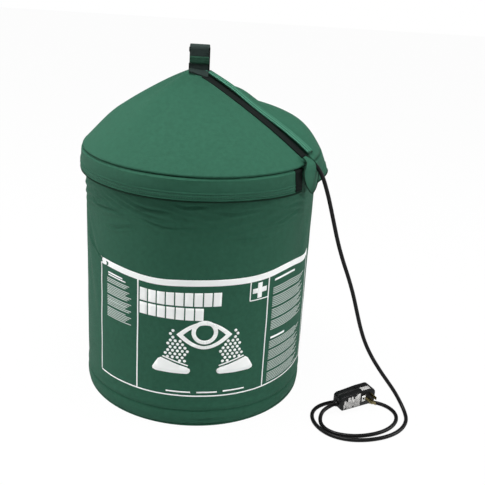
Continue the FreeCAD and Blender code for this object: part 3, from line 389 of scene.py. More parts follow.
def skirt_point(azimuth, share):
    """A point on the skirt's outer cloth, from the rim at 0 down to the hem at 1."""
    top = RIM_HEIGHT - 1.2 * MM
    left = left_side(azimuth)
    flare = hump(turn_between(azimuth, -3), 0, 13)
    radius = RIM_RADIUS - 4.2 * MM + 6 * MM * smooth(0, 0.14, share) + 2.4 * MM * share
    radius += 1.2 * MM * math.sin(math.pi * share) + SKIRT_FLARE * MM * flare * share ** 1.4
    # The hem is a double fold that the stitches pull in.
    radius += 1.4 * MM * smooth(0.66, 0.69, share)
    for groove in HEM_ROWS:
        radius -= 1.6 * MM * hump(share, groove, 0.035)
    radius += 1.1 * MM * noise.noise(around(6, azimuth, share * 2)) * share
    radius += 1.6 * MM * noise.noise(around(2.2, azimuth, share * 1.5))
    height = top + (HEM_HEIGHT - top) * share + SKIRT_LIFT * MM * flare * share
    wander = 3.2 * noise.noise(around(1.5, azimuth, 4)) - 0.8
    height -= LEFT_DROP * MM * left * (1 - 0.5 * share) + wander * MM * share
    return around(radius, azimuth, height)


def across_slit():
    """The level direction across the slit, towards the flap's side."""
    return around(1, SLIT + 90, 0)


def beside_slit(share, aside, lift):
    """A point near the slit: aside is the distance towards the flap's side, lift the height over the lid."""
    point = lid_point(SLIT, share)
    out = math.hypot(point.x - APEX.x, point.y)
    # The cone falls away to both sides of the slit by this slope.
    fall = 0.62 * (math.hypot(out, aside) - out)
    return point + across_slit() * aside + Vector((0, 0, lift - fall))


# ---- finishes ------------------------------------------------------------------------------------
def new_material(name, colour, roughness, metallic=0.0):
    """A material with its shader, and the tree that it is in."""
    material = bpy.data.materials.new(name)
    material.use_nodes = True
    tree = material.node_tree
    shader = tree.nodes["Principled BSDF"]
    shader.inputs["Base Color"].default_value = colour
    shader.inputs["Roughness"].default_value = roughness
    shader.inputs["Metallic"].default_value = metallic
    material.diffuse_color = colour
    return material, tree, shader


def vary_colour(tree, shader, colour, vector, scale, amount, detail=4.0):
    """Mottles a colour with noise, by that share of its brightness."""
    cloud = add(tree, "ShaderNodeTexNoise", {"Vector": vector, "Scale": scale, "Detail": detail})
    dark = tuple(channel * (1 - amount) for channel in colour[:3]) + (1.0,)
    light = tuple(min(1.0, channel * (1 + amount)) for channel in colour[:3]) + (1.0,)
    mixed = add(tree, "ShaderNodeMix", {"Factor": cloud.outputs["Fac"]}, data_type="RGBA")
    mixed.inputs[6].default_value = dark
    mixed.inputs[7].default_value = light
    tree.links.new(mixed.outputs[2], shader.inputs["Base Color"])
    return mixed.outputs[2]


def add_relief(tree, shader, height, strength, depth):
    """Turns a pattern into fine relief of that depth."""
    bump = add(tree, "ShaderNodeBump", {"Height": height, "Strength": strength, "Distance": depth})
    tree.links.new(bump.outputs["Normal"], shader.inputs["Normal"])


def woven(name, colour, thread, roughness=0.7, sheen=0.03, relief=0.8):
    """Cloth woven of threads that lie that far apart, read from the piece's own flat pattern."""
    material, tree, shader = new_material(name, colour, roughness)
    flat = add(tree, "ShaderNodeUVMap", uv_map="cloth").outputs["UV"]
    place = add(tree, "ShaderNodeTexCoord").outputs["Object"]
    # A wave texture's band is 0.314 long at scale 1.
    threads = {"Vector": flat, "Scale": 0.314 / thread, "Distortion": 0.6}
    weft = add(tree, "ShaderNodeTexWave", threads, bands_direction="X")
    warp = add(tree, "ShaderNodeTexWave", threads, bands_direction="Y")
    weave = add(tree, "ShaderNodeMath", {0: weft.outputs["Fac"], 1: warp.outputs["Fac"]}, operation="ADD")
    slub = add(tree, "ShaderNodeTexNoise", {"Vector": place, "Scale": 260.0, "Detail": 3.0})
    height = add(tree, "ShaderNodeMath", {0: weave.outputs[0], 1: slub.outputs["Fac"]}, operation="ADD")
    add_relief(tree, shader, height.outputs[0], relief, 0.4 * MM)
    vary_colour(tree, shader, colour, place, 120.0, 0.2, 9.0)
    shader.inputs["Specular IOR Level"].default_value = 0.13
    shader.inputs["Sheen Weight"].default_value = sheen
    shader.inputs["Sheen Roughness"].default_value = 0.4
    shader.inputs["Sheen Tint"].default_value = linear("#7fb39c")
    return material


def moulded(name, colour, roughness=0.45, grit=0.6 * MM, relief=0.12, specular=0.5):
    """Moulded plastic or rubber with a fine spark-eroded grain."""
    material, tree, shader = new_material(name, colour, roughness)
    place = add(tree, "ShaderNodeTexCoord").outputs["Object"]
    grain = add(tree, "ShaderNodeTexNoise", {"Vector": place, "Scale": 1 / grit, "Detail": 2.0})
    add_relief(tree, shader, grain.outputs["Fac"], relief, 0.2 * MM)
    vary_colour(tree, shader, colour, place, 40.0, 0.06)
    shader.inputs["Specular IOR Level"].default_value = specular
    return material


def metal(name, colour, roughness, stretch=(1, 1, 1), scale=400.0, relief=0.08):
    """Metal with its working marks drawn out along the axes where stretch is small."""
    material, tree, shader = new_material(name, colour, roughness, metallic=1.0)
    place = add(tree, "ShaderNodeTexCoord").outputs["Object"]
    drawn = add(tree, "ShaderNodeMapping", {"Vector": place, "Scale": stretch})
    marks = add(tree, "ShaderNodeTexNoise", {
        "Vector": drawn.outputs["Vector"], "Scale": scale, "Detail": 3.0,
    })
    rough = add(tree, "ShaderNodeMapRange", {
        "Value": marks.outputs["Fac"], "To Min": roughness * 0.75, "To Max": roughness * 1.35,
    })
    tree.links.new(rough.outputs["Result"], shader.inputs["Roughness"])
    add_relief(tree, shader, marks.outputs["Fac"], relief, 0.2 * MM)
    vary_colour(tree, shader, colour, place, 18.0, 0.05)
    return material


def fibre(name, colour, relief=0.6, scale=900.0):
    """A mass of loose or hooked fibres that scatters light and shows no gloss."""
    material, tree, shader = new_material(name, colour, 0.95)
    place = add(tree, "ShaderNodeTexCoord").outputs["Object"]
    fuzz = add(tree, "ShaderNodeTexVoronoi", {"Vector": place, "Scale": scale})
    add_relief(tree, shader, fuzz.outputs["Distance"], relief, 0.6 * MM)
    vary_colour(tree, shader, colour, place, 300.0, 0.18)
    shader.inputs["Specular IOR Level"].default_value = 0.1
    return material


def glass(name):
    """Clear polycarbonate, as thin as a gauge's window."""
    material, tree, shader = new_material(name, linear("#f4f8f8"), 0.05)
    shader.inputs["Transmission Weight"].default_value = 1.0
    shader.inputs["IOR"].default_value = 1.58
    place = add(tree, "ShaderNodeTexCoord").outputs["Object"]
    marks = add(tree, "ShaderNodeTexNoise", {"Vector": place, "Scale": 150.0})
    add_relief(tree, shader, marks.outputs["Fac"], 0.02, 0.1 * MM)
    return material


FINISHES = {}


def finish(name):
    """The material of that name, made once."""
    if name not in FINISHES:
        FINISHES[name] = MAKERS[name]()
    return FINISHES[name]


def jacket_colour():
    return chosen(bpy.context.scene.eyewash_jacket.cloth_colour)


def paler(colour, factor):
    """A colour made brighter by that factor."""
    return tuple(channel * factor for channel in colour[:3]) + (1.0,)


# How far apart threads and webbing yarns are drawn: coarser than the real ones, so that they show.
DRAWN_THREAD = 1.6 * MM
DRAWN_YARN = 2.2 * MM
MAKERS = {
    # Urethane-coated polyester gives a dull, slightly mottled green with hardly any gloss. Its real threads
    # are 0.6 mm apart.
    "coated_polyester": lambda: woven("coated_polyester", jacket_colour(), DRAWN_THREAD),
    # The same cloth painted paler, as a painted highlight on edges and folds that catch more light.
    "highlight_polyester": lambda: woven("highlight_polyester", paler(jacket_colour(), 1.2), DRAWN_THREAD),
    "fold_highlight_polyester": lambda: woven("fold_highlight_polyester", linear("#4c8a72"), DRAWN_THREAD),
    # Uncoated quilt lining: darker and a little silky.
    "lining_polyester": lambda: woven("lining_polyester", linear("#2c4a3d"), DRAWN_THREAD, sheen=0.1),
    # Heavy nylon webbing: coarse ribs and no gloss.
    "webbing_nylon": lambda: woven("webbing_nylon", linear("#26322f"), DRAWN_YARN),
    "webbing_green": lambda: woven("webbing_green", linear("#1f4434"), DRAWN_YARN),
    # Hook tape is a bed of stiff bristles that swallows light, and edge tape a shorter and smoother one.
    "hook_tape": lambda: fibre("hook_tape", linear("#101614"), relief=0.9, scale=700.0),
    "edge_tape": lambda: fibre("edge_tape", linear("#0f1413"), relief=0.4, scale=500.0),
    # Dark cord laid as painted shade in crevices, under the hem and along edges: matt and nearly black.
    # Bonded thread: pale beads with a slight shine.
    "shade_cord": lambda: moulded("shade_cord", linear("#0e2a1e"), roughness=0.8, specular=0.1),
    "bonded_thread": lambda: moulded("bonded_thread", linear("#487a66"), roughness=0.6, specular=0.2),
    # Screen ink lies on the cloth as a thin, even, slightly rough film.
    "screen_ink": lambda: moulded("screen_ink", linear("#f3f5f4"), roughness=0.55, relief=0.25),
    "faint_ink": lambda: moulded("faint_ink", linear("#c3cfc9"), roughness=0.6, relief=0.25),
    # Needled felt: cream and fuzzy. The silicone heating pad: brick red, with the print of its mould cloth.
    "needled_felt": lambda: fibre("needled_felt", linear("#e4e3da")),
    "silicone_pad": lambda: moulded(
        "silicone_pad", linear("#a0401f"), roughness=0.6, grit=1.2 * MM, relief=0.4,
    ),
    # Extruded vinyl: smooth black with a narrow soft highlight.
    "vinyl_lead": lambda: moulded("vinyl_lead", linear("#0c0c0d"), roughness=0.4, relief=0.08, specular=0.18),
    # Injection-moulded plastics: satin, with a fine spark-eroded grain.
    "moulded_black": lambda: moulded("moulded_black", linear("#101112"), roughness=0.42, specular=0.22),
    "moulded_yellow": lambda: moulded("moulded_yellow", linear("#d9a514"), roughness=0.38),
    "moulded_green": lambda: moulded("moulded_green", linear("#1d6b3d"), roughness=0.42),
    "moulded_white": lambda: moulded("moulded_white", linear("#e6e6e2"), roughness=0.45),
    "moulded_red": lambda: moulded("moulded_red", linear("#b3201c"), roughness=0.4),
    # A pressed foil label: grey, flat and softly shining. Nitrile rubber: matt. Board: glossy green lacquer.
    "foil_label": lambda: moulded("foil_label", linear("#b3b2b0"), roughness=0.5, relief=0.2),
    "nitrile": lambda: moulded("nitrile", linear("#1a1a1a"), roughness=0.7),
    "laminate_board": lambda: moulded("laminate_board", linear("#12512c"), roughness=0.4),
    # Stainless steel: brushed round the tank, and drawn tube and rod with no one direction.
    "brushed_stainless": lambda: metal(
        "brushed_stainless", linear("#c3c5c4"), 0.3, (0.05, 0.05, 6), 500.0, 0.12,
    ),
    "drawn_stainless": lambda: metal("drawn_stainless", linear("#b9bcbb"), 0.35),
    # Turned brass is bright with fine rings, and brass that is often plugged in is dull with long scratches.
    "machined_brass": lambda: metal("machined_brass", linear("#c09a4a"), 0.28, (1, 1, 8), 300.0),
    "worn_brass": lambda: metal("worn_brass", linear("#8a7f55"), 0.34, (8, 1, 1), 300.0),
    # Nickel plate: the brightest metal here, nearly a mirror.
    "nickel_plate": lambda: metal("nickel_plate", linear("#c9cbcb"), 0.14),
    "clear_window": lambda: glass("clear_window"),
}


def finish_node(node, name):
    """Gives a CAD node its finish."""
    slots = frame["nodes"][node].data.materials
    slots.clear()
    slots.append(finish(name))


# ---- sidebar settings ----------------------------------------------------------------------------
class JacketSettings(bpy.types.PropertyGroup):
    cloth_colour: bpy.props.FloatVectorProperty(
        name="Cloth colour", description="Colour of the coated cloth", subtype="COLOR", size=3,
        default=linear("#295845")[:3], min=0, max=1,
    )
    seam_depth: bpy.props.FloatProperty(
        name="Seam depth", description="How far the base seam pulls the wall in", subtype="DISTANCE",
        default=2.2 * MM, min=0, max=8 * MM,
    )
    wall_thickness: bpy.props.FloatProperty(
        name="Wall cloth", description="Thickness of the wall's outer cloth", subtype="DISTANCE",
        default=1.4 * MM, min=0.3 * MM, max=4 * MM,
    )
    lid_thickness: bpy.props.FloatProperty(
        name="Lid padding", description="Thickness of the padded lid", subtype="DISTANCE",
        default=4.5 * MM, min=1 * MM, max=12 * MM,
    )
    skirt_thickness: bpy.props.FloatProperty(
        name="Skirt padding", description="Thickness of the padded skirt", subtype="DISTANCE",
        default=5 * MM, min=1 * MM, max=12 * MM,
    )


class SewingSettings(bpy.types.PropertyGroup):
    stitch_length: bpy.props.FloatProperty(
        name="Stitch length", description="Length of one stitch", subtype="DISTANCE", default=3.4 * MM,
    )
    stitch_spacing: bpy.props.FloatProperty(
        name="Stitch spacing", description="From the start of one stitch to the next", subtype="DISTANCE",
        default=4.6 * MM,
    )
    thread_radius: bpy.props.FloatProperty(
        name="Thread radius", description="Half the thickness of the thread", subtype="DISTANCE",
        default=0.45 * MM,
    )


class PrintSettings(bpy.types.PropertyGroup):
    line_width: bpy.props.FloatProperty(
        name="Frame line", description="Width of the panel's frame line", subtype="DISTANCE",
        default=2.6 * MM,
    )
    ink_thickness: bpy.props.FloatProperty(
        name="Ink", description="How far the ink stands off the cloth", subtype="DISTANCE", default=0.35 * MM,
    )
    dot_radius: bpy.props.FloatProperty(
        name="Dot radius", description="Radius of a dot in the spray", subtype="DISTANCE", default=3.0 * MM,
    )


class LeadSettings(bpy.types.PropertyGroup):
    diameter: bpy.props.FloatProperty(
        name="Lead diameter", description="Outer diameter of the mains lead", subtype="DISTANCE",
        default=8 * MM,
    )


class StudioSettings(bpy.types.PropertyGroup):
    key_power: bpy.props.FloatProperty(
        name="Top light", description="Power of the large light overhead", subtype="POWER", default=66,
    )
    side_power: bpy.props.FloatProperty(
        name="Side lights", description="Power of the two lights at the sides", subtype="POWER", default=32,
    )
    front_power: bpy.props.FloatProperty(
        name="Front light", description="Power of the light behind the camera", subtype="POWER", default=7,
    )
    world_level: bpy.props.FloatProperty(
        name="Surroundings", description="Brightness of the surroundings", default=0.19,
    )


# ---- stage ---------------------------------------------------------------------------------------
def plain_white(name):
    """Matt white paper that the camera and gloss see as white, and that still takes a faint shadow."""
    material, tree, shader = new_material(name, linear("#e4e4e4"), 0.9)
    path = add(tree, "ShaderNodeLightPath")
    seen = add(tree, "ShaderNodeMath", {
        0: path.outputs["Is Camera Ray"], 1: path.outputs["Is Glossy Ray"],
    }, operation="MAXIMUM")
    seen = add(tree, "ShaderNodeMath", {
        0: seen.outputs[0], 1: path.outputs["Is Transmission Ray"],
    }, operation="MAXIMUM")
    share = add(tree, "ShaderNodeMath", {0: seen.outputs[0], 1: 0.97}, operation="MULTIPLY")
    glow = add(tree, "ShaderNodeEmission", {"Color": (1, 1, 1, 1), "Strength": 1.0})
    mixed = add(tree, "ShaderNodeMixShader", {"Fac": share.outputs[0]})
    tree.links.new(shader.outputs["BSDF"], mixed.inputs[1])
    tree.links.new(glow.outputs["Emission"], mixed.inputs[2])
    tree.links.new(mixed.outputs["Shader"], tree.nodes["Material Output"].inputs["Surface"])
    return material


def area_light(name, place, target, size, power):
    """A square soft light that faces the target."""
    data = bpy.data.lights.new(name, "AREA")
    data.size = size
    data.energy = power
    lamp = bpy.data.objects.new(name, data)
    bpy.context.scene.collection.objects.link(lamp)
    lamp.location = place
    lamp.rotation_euler = (Vector(target) - Vector(place)).to_track_quat("-Z", "Y").to_euler()
    return lamp


class BuildStage(bpy.types.Operator):
    """Puts up the floor, the surroundings, the lights and the camera"""
    bl_idname = "eyewash.stage"
    bl_label = "Stage"

    def execute(self, context):
        scene = context.scene
        scene.view_settings.view_transform = "Standard"
        floor = bpy.data.meshes.new("floor")
        reach = 6.0
        corners = [(-reach, -reach, 0), (reach, -reach, 0), (reach, reach, 0), (-reach, reach, 0)]
        floor.from_pydata(corners, [], [(0, 1, 2, 3)])
        ground = bpy.data.objects.new("floor", floor)
        scene.collection.objects.link(ground)
        floor.materials.append(plain_white("white_paper"))
        ground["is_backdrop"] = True
        self.light_the_room(scene)
        self.place_camera(scene)
        return {"FINISHED"}

    def light_the_room(self, scene):
        studio = scene.eyewash_studio
        world = bpy.data.worlds.new("studio")
        world.use_nodes = True
        scene.world = world
        tree = world.node_tree
        tree.nodes.clear()
        path = add(tree, "ShaderNodeLightPath")
        seen = add(tree, "ShaderNodeMath", {
            0: path.outputs["Is Camera Ray"], 1: path.outputs["Is Transmission Ray"],
        }, operation="MAXIMUM")
        level = add(tree, "ShaderNodeMapRange", {
            "Value": seen.outputs[0], "To Min": studio.world_level, "To Max": 1.0,
        })
        sky = add(tree, "ShaderNodeBackground", {
            "Color": (1, 1, 1, 1), "Strength": level.outputs["Result"],
        })
        output = add(tree, "ShaderNodeOutputWorld")
        tree.links.new(sky.outputs["Background"], output.inputs["Surface"])
        # Each light's place in metres, the side of its square, and its power.
        middle = (0, 0, 0.35)
        area_light("top_light", (-0.15, -0.35, 2.5), middle, 1.3, studio.key_power)
        area_light("left_light", (-2.2, 0.1, 1.2), middle, 1.2, studio.side_power)
        area_light("right_light", (2.3, -0.1, 1.2), middle, 1.2, studio.side_power)
        area_light("front_light", (0.2, -2.8, 1.3), middle, 1.8, studio.front_power)

    def place_camera(self, scene):
        data = bpy.data.cameras.new("camera")
        data.lens = 60
        data.sensor_width = 36
        tilt = -0.0608
        camera = bpy.data.objects.new("camera", data)
        scene.collection.objects.link(camera)
        place = Vector((0.09155, -1.56096, 0.94443))
        target = Vector((0.09155, 0, 0.30227))
        forward = (target - place).normalized()
        right = forward.cross(Vector((0, 0, 1))).normalized()
        turn = Matrix.Rotation(tilt, 3, forward)
        right = turn @ right
        upward = right.cross(forward)
        axes = Matrix((right, upward, -forward)).transposed().to_4x4()
        camera.matrix_world = Matrix.Translation(place) @ axes
        scene.camera = camera


# ---- lead ----------------------------------------------------------------------------------------
# The plug's CAD nodes that pieces made here stand for.
PLUG_REPLACED = ("plug_housing_front", "plug_housing_back", "plug_plates")
# How far the plug's labels go into its shell.
LABEL_ROOT = 0.3 * MM


def plug_place(point):
    """A point of the plug, counted from its lower front left corner, in the frame."""
    turn = Matrix.Rotation(math.radians(PLUG_TURN), 3, "Z")
    return Vector(LEAD_ROUTE[-1]) * MM + turn @ (PLUG_CORNER + Vector(point))


class BuildLead(bpy.types.Operator):
    """Lays the mains lead from the lid's slit to its plug"""
    bl_idname = "eyewash.lead"
    bl_label = "Mains lead"

    def execute(self, context):
        curve = bpy.data.curves.new("mains_lead", "CURVE")
        curve.dimensions = "3D"
        points = [Vector(point) * MM for point in [LEAD_START] + LEAD_ROUTE]
        spline = curve.splines.new("NURBS")
        spline.points.add(len(points) - 1)
        for control, point in zip(spline.points, points):
            control.co = (*point, 1)
        spline.order_u = 3
        spline.use_endpoint_u = True
        spline.resolution_u = 12
        curve.bevel_depth = context.scene.eyewash_lead.diameter / 2
        curve.bevel_resolution = 5
        curve.use_fill_caps = True
        curve.materials.append(finish("vinyl_lead"))
        lead = bpy.data.objects.new("mains_lead", curve)
        context.scene.collection.objects.link(lead)
        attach(lead, "jacket")
        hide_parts("power_cord")
        riders = [name for name in frame["record"]["physics"]["cord_nodes"] if name != "power_cord"]
        shown = [name for name in riders if name not in PLUG_REPLACED]
        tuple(points[0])
        [frame["nodes"][name] for name in shown] + build_plug()
        return {"FINISHED"}


def plug_outline():
    """The plug's side view: a flat left end, a top that climbs to the right and a large round shoulder."""
    length, height = PLUG_SIZE.x, PLUG_SIZE.z
    corner, shoulder = 5 * MM, 12 * MM
    outline = [(corner, 0), (length - corner, 0), (length, corner)]
    for k in range(9):
        angle = math.radians(90 * k / 8)
        outline.append((
            length - shoulder + shoulder * math.cos(angle), height - shoulder + shoulder * math.sin(angle),
        ))
    outline += [(52 * MM, height - 0.4 * MM), (corner, height - 5 * MM), (0, height - 9 * MM), (0, corner)]
    return outline


def extruded(name, outline, low, high, bevel, place):
    """An outline in the plug's side view, drawn out across the plug, with its edges rounded."""
    work = bmesh.new()
    ring = [work.verts.new((x, low, z)) for x, z in outline]
    face = work.faces.new(ring)
    drawn = bmesh.ops.extrude_face_region(work, geom=[face])
    for item in drawn["geom"]:
        if isinstance(item, bmesh.types.BMVert):
            item.co.y = high
    bmesh.ops.recalc_face_normals(work, faces=work.faces)
    mesh = bpy.data.meshes.new(name)
    work.to_mesh(mesh)
    work.free()
    mesh = finished_mesh(mesh, bevel=bevel)
    for vertex in mesh.vertices:
        vertex.co = place(vertex.co)
    mesh.name = name
    return mesh


def rounded_box(width, height, x=0.0, z=0.0):
    return [(x, z), (x + width, z), (x + width, z + height), (x, z + height)]


def build_plug():
    """The plug's two shells, its seam and its plates. Returns the pieces."""
    width = PLUG_SIZE.y
    outline = plug_outline()
    # Half the groove between the shells, and half the width of the seam that shows in it.
    gap, seam = 0.25 * MM, 1.5 * MM
    pieces = []
    for name, node, low, high in (
        ("plug_shell_front", "plug_housing_front", 0.0, width / 2 - gap),
        ("plug_shell_back", "plug_housing_back", width / 2 + gap, width),
    ):
        mesh = extruded(name, outline, low, high, 1.6 * MM, plug_place)
        pieces.append(new_piece(name, mesh, finish("moulded_black"), "jacket", [node]))
    middle_x, middle_z = 43 * MM, 17 * MM
    inset = [
        (middle_x + (x - middle_x) * 0.985, middle_z + (z - middle_z) * 0.97) for x, z in outline
    ]
    core = extruded("plug_seam", inset, width / 2 - seam, width / 2 + seam, 0, plug_place)
    pieces.append(new_piece("plug_seam", core, finish("nitrile"), "jacket"))
    plates = (
        ("plug_side_plate", side_plate_outline(), "foil_label"),
        ("plug_square_plate", rounded_box(9 * MM, 13 * MM, 52 * MM, 11 * MM), "moulded_white"),
        ("plug_square_mark", rounded_box(3.6 * MM, 5 * MM, 54.7 * MM, 15 * MM), "moulded_black"),
    )
    for name, shape, material in plates:
        proud = 0.8 * MM if name == "plug_square_mark" else 0.5 * MM
        mesh = extruded(name, shape, -proud, LABEL_ROOT, 0, plug_place)
        nodes = ["plug_plates"] if name == "plug_side_plate" else []
        pieces.append(new_piece(name, mesh, finish(material), "jacket", nodes))
    pieces.append(top_plate())
    return pieces


def side_plate_outline():
    """A label with a stepped upper edge, as die-cut foil has."""
    steps = [
        (7, 3.5), (10, 3.5), (10, 6), (14.5, 6), (14.5, 2.5), (29, 2.5), (29, 6), (33.5, 6), (33.5, 2.5),
        (48, 2.5), (48, 31.5), (39.5, 31.5), (39.5, 27), (34.5, 27), (34.5, 22), (30, 22), (30, 28), (26, 28),
        (26, 22), (23, 22), (23, 28), (17.5, 28), (17.5, 19), (12.5, 19), (12.5, 22), (8, 22), (8, 15),
        (7, 15),
    ]
    return [(x * MM, z * MM) for x, z in steps]


def top_plate():
    """A small foil plate on the plug's top, beside the buttons."""
    front, back = 2.5 * MM, 13 * MM
    left, right = 53 * MM, 74 * MM
    height = PLUG_SIZE.z - 0.25 * MM
    low, high = height - 0.6 * MM, height + 0.4 * MM
    outline = [(left, low), (right, low), (right, high), (left, high)]
    mesh = extruded("plug_top_plate", outline, front, back, 0.1 * MM, plug_place)
    return new_piece("plug_top_plate", mesh, finish("foil_label"), "jacket")


# ---- stitches ------------------------------------------------------------------------------------
def stitch_tree():
    """A node tree that lays stitches along a line, with sockets for their sizes and their thread."""
    tree = bpy.data.node_groups.new("stitch_row", "GeometryNodeTree")
    face = tree.interface
    face.new_socket("Line", in_out="INPUT", socket_type="NodeSocketGeometry")
    for label in ("Spacing", "Length", "Thread radius"):
        face.new_socket(label, in_out="INPUT", socket_type="NodeSocketFloat")
    face.new_socket("Thread", in_out="INPUT", socket_type="NodeSocketMaterial")
    face.new_socket("Stitches", in_out="OUTPUT", socket_type="NodeSocketGeometry")
    given = add(tree, "NodeGroupInput").outputs
    line = add(tree, "GeometryNodeMeshToCurve", {"Mesh": given["Line"]})
    spaced = add(tree, "GeometryNodeResampleCurve", {
        "Curve": line.outputs["Curve"], "Length": given["Spacing"],
    }, mode="LENGTH")
    size = add(tree, "ShaderNodeCombineXYZ", {
        "X": given["Length"], "Y": given["Thread radius"], "Z": given["Thread radius"],
    })
    bead = add(tree, "GeometryNodeMeshIcoSphere", {"Radius": 1.0, "Subdivisions": 2})
    along = add(tree, "GeometryNodeInputTangent")
    turned = add(tree, "FunctionNodeAlignRotationToVector", {"Vector": along.outputs["Tangent"]}, axis="X")
    placed = add(tree, "GeometryNodeInstanceOnPoints", {
        "Points": spaced.outputs["Curve"], "Instance": bead.outputs["Mesh"],
        "Rotation": turned.outputs["Rotation"], "Scale": size.outputs["Vector"],
    })
    real = add(tree, "GeometryNodeRealizeInstances", {"Geometry": placed.outputs["Instances"]})
    painted = add(tree, "GeometryNodeSetMaterial", {
        "Geometry": real.outputs["Geometry"], "Material": given["Thread"],
    })
    add(tree, "NodeGroupOutput", {"Stitches": painted.outputs["Geometry"]})
    return tree


def sew(name, lines, body, material="bonded_thread"):
    """Rows of stitches along the given lines, as one piece."""
    sewing = bpy.context.scene.eyewash_sewing
    tree = bpy.data.node_groups.get("stitch_row") or stitch_tree()
    points, edges = [], []
    for line in lines:
        first = len(points)
        points += line
        edges += [(k, k + 1) for k in range(first, len(points) - 1)]
    mesh = bpy.data.meshes.new(name)
    mesh.from_pydata(points, edges, [])
    helper = bpy.data.objects.new(name + "_line", mesh)
    bpy.context.scene.collection.objects.link(helper)
    modifier = helper.modifiers.new("stitches", "NODES")
    modifier.node_group = tree
    values = {
        "Spacing": sewing.stitch_spacing, "Length": sewing.stitch_length / 2,
        "Thread radius": sewing.thread_radius, "Thread": finish(material),
    }
    for item in tree.interface.items_tree:
        if item.item_type == "SOCKET" and item.name in values:
            modifier[item.identifier] = values[item.name]
    plain = apply_modifiers(helper)
    bpy.data.objects.remove(helper)
    plain.name = name
    for face in plain.polygons:
        face.use_smooth = True
    return new_piece(name, plain, None, body)


# ---- jacket --------------------------------------------------------------------------------------
class BuildWall(bpy.types.Operator):
    """Makes the jacket's stuffed wall with its base seam, the felt behind it and the heating pad"""
    bl_idname = "eyewash.wall"
    bl_label = "Jacket wall"

    def execute(self, context):
        settings = context.scene.eyewash_jacket
        # Rows lie close together up to this height, where the seams are, and further apart above.
        across, low_rows, rows = 240, 40, 200
        seam_top = 60 * MM

        def level(b):
            row = b * rows
            if row <= low_rows:
                return seam_top * row / low_rows
            return seam_top + (WALL_TOP - seam_top) * (row - low_rows) / (rows - low_rows)

        def place(a, b):
            return around(wall_radius(360 * a, level(b)), 360 * a, level(b))

        def flat(a, b):
            return a * math.tau * WALL_RADIUS, level(b)

        mesh = grid_mesh("jacket_wall", across, rows, place, flat, closed=True)
        mesh = finished_mesh(mesh, thickness=settings.wall_thickness)
        wall = new_piece(
            "jacket_wall", mesh, finish("coated_polyester"), "jacket", ["jacket_shell"],
        )
        self.fill_the_wall(settings.wall_thickness)
        self.fill_the_floor()
        self.hang_the_heater()
        return {"FINISHED"}

    def fill_the_wall(self, cloth):
        """The felt between the wall's cloth and the lining."""
        low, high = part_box("wall_insulation")
        # The felt's outer face keeps clear of the wall's creases.
        outside = WALL_RADIUS - cloth - 6.5 * MM
        inside = LINER_RADIUS + 1.5 * MM
        rows, outer_rows = 30, 28

        def place(a, b):
            row = b * rows
            if row <= outer_rows:
                return around(outside, 360 * a, low.z + (high.z - low.z) * row / outer_rows)
            return around(inside, 360 * a, high.z if row < rows - 0.5 else low.z)

        mesh = grid_mesh("wall_felt", 120, rows, place, self.felt_spot, closed=True)
        close_up(mesh, lambda work: bmesh.ops.bridge_loops(work, edges=open_edges(work)))
        self.felt("wall_felt", mesh, "wall_insulation")

    def fill_the_floor(self):
        """The felt below the tank, dimpled on top."""
        low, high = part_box("floor_insulation")
        edge = high.x - 0.5 * MM
        # Rows across the underside, up the edge and back across the top.
        under, side, over = 8, 4, 12
        rows = under + side + over
        dimple, dimple_run = 0.7 * MM, 9 * MM

        def place(a, b):
            row = b * rows
            if row <= under:
                return around(edge * row / under, 360 * a, low.z)
            if row <= under + side:
                return around(edge, 360 * a, low.z + (high.z - low.z) * (row - under) / side)
            out = edge * (rows - row) / over
            sunk = dimple * math.cos(out / dimple_run) * math.cos(a * 50)
            return around(out, 360 * a, high.z - dimple - sunk)

        mesh = grid_mesh("floor_felt", 96, rows, place, self.felt_spot, closed=True)
        close_up(mesh, lambda work: bmesh.ops.remove_doubles(work, verts=work.verts, dist=0.2 * MM))
        self.felt("floor_felt", mesh, "floor_insulation")

    def felt_spot(self, a, b):
        """A felt's spot on its flat sheet, about its girth by its height in metres."""
        return a * 1.4, b * 0.5

    def felt(self, name, mesh, node):
        """Makes a mesh a piece of felt."""
        piece = new_piece(name, mesh, finish("needled_felt"), "jacket", [node])

    def hang_the_heater(self):
        """The heating blanket: a thin rubber pad against the lining, open on the side away from the lead."""
        low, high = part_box("heater_blanket")
        thickness = 2.4 * MM
        middle_radius = high.x - thickness / 2
        middle_height = (low.z + high.z) / 2

        def turn(b):
            return HEATER_TURN[0] + (HEATER_TURN[1] - HEATER_TURN[0]) * b

        mesh = tape_mesh(
            "heater_pad", 120, lambda b: around(middle_radius, turn(b), middle_height),
            lambda b: Vector((0, 0, 1)), lambda b: around(-1, turn(b), 0),
            (high.z - low.z) / 2, thickness, 0.3,
        )
        pad = new_piece(
            "heater_pad", mesh, finish("silicone_pad"), "jacket", ["heater_blanket"],
        )


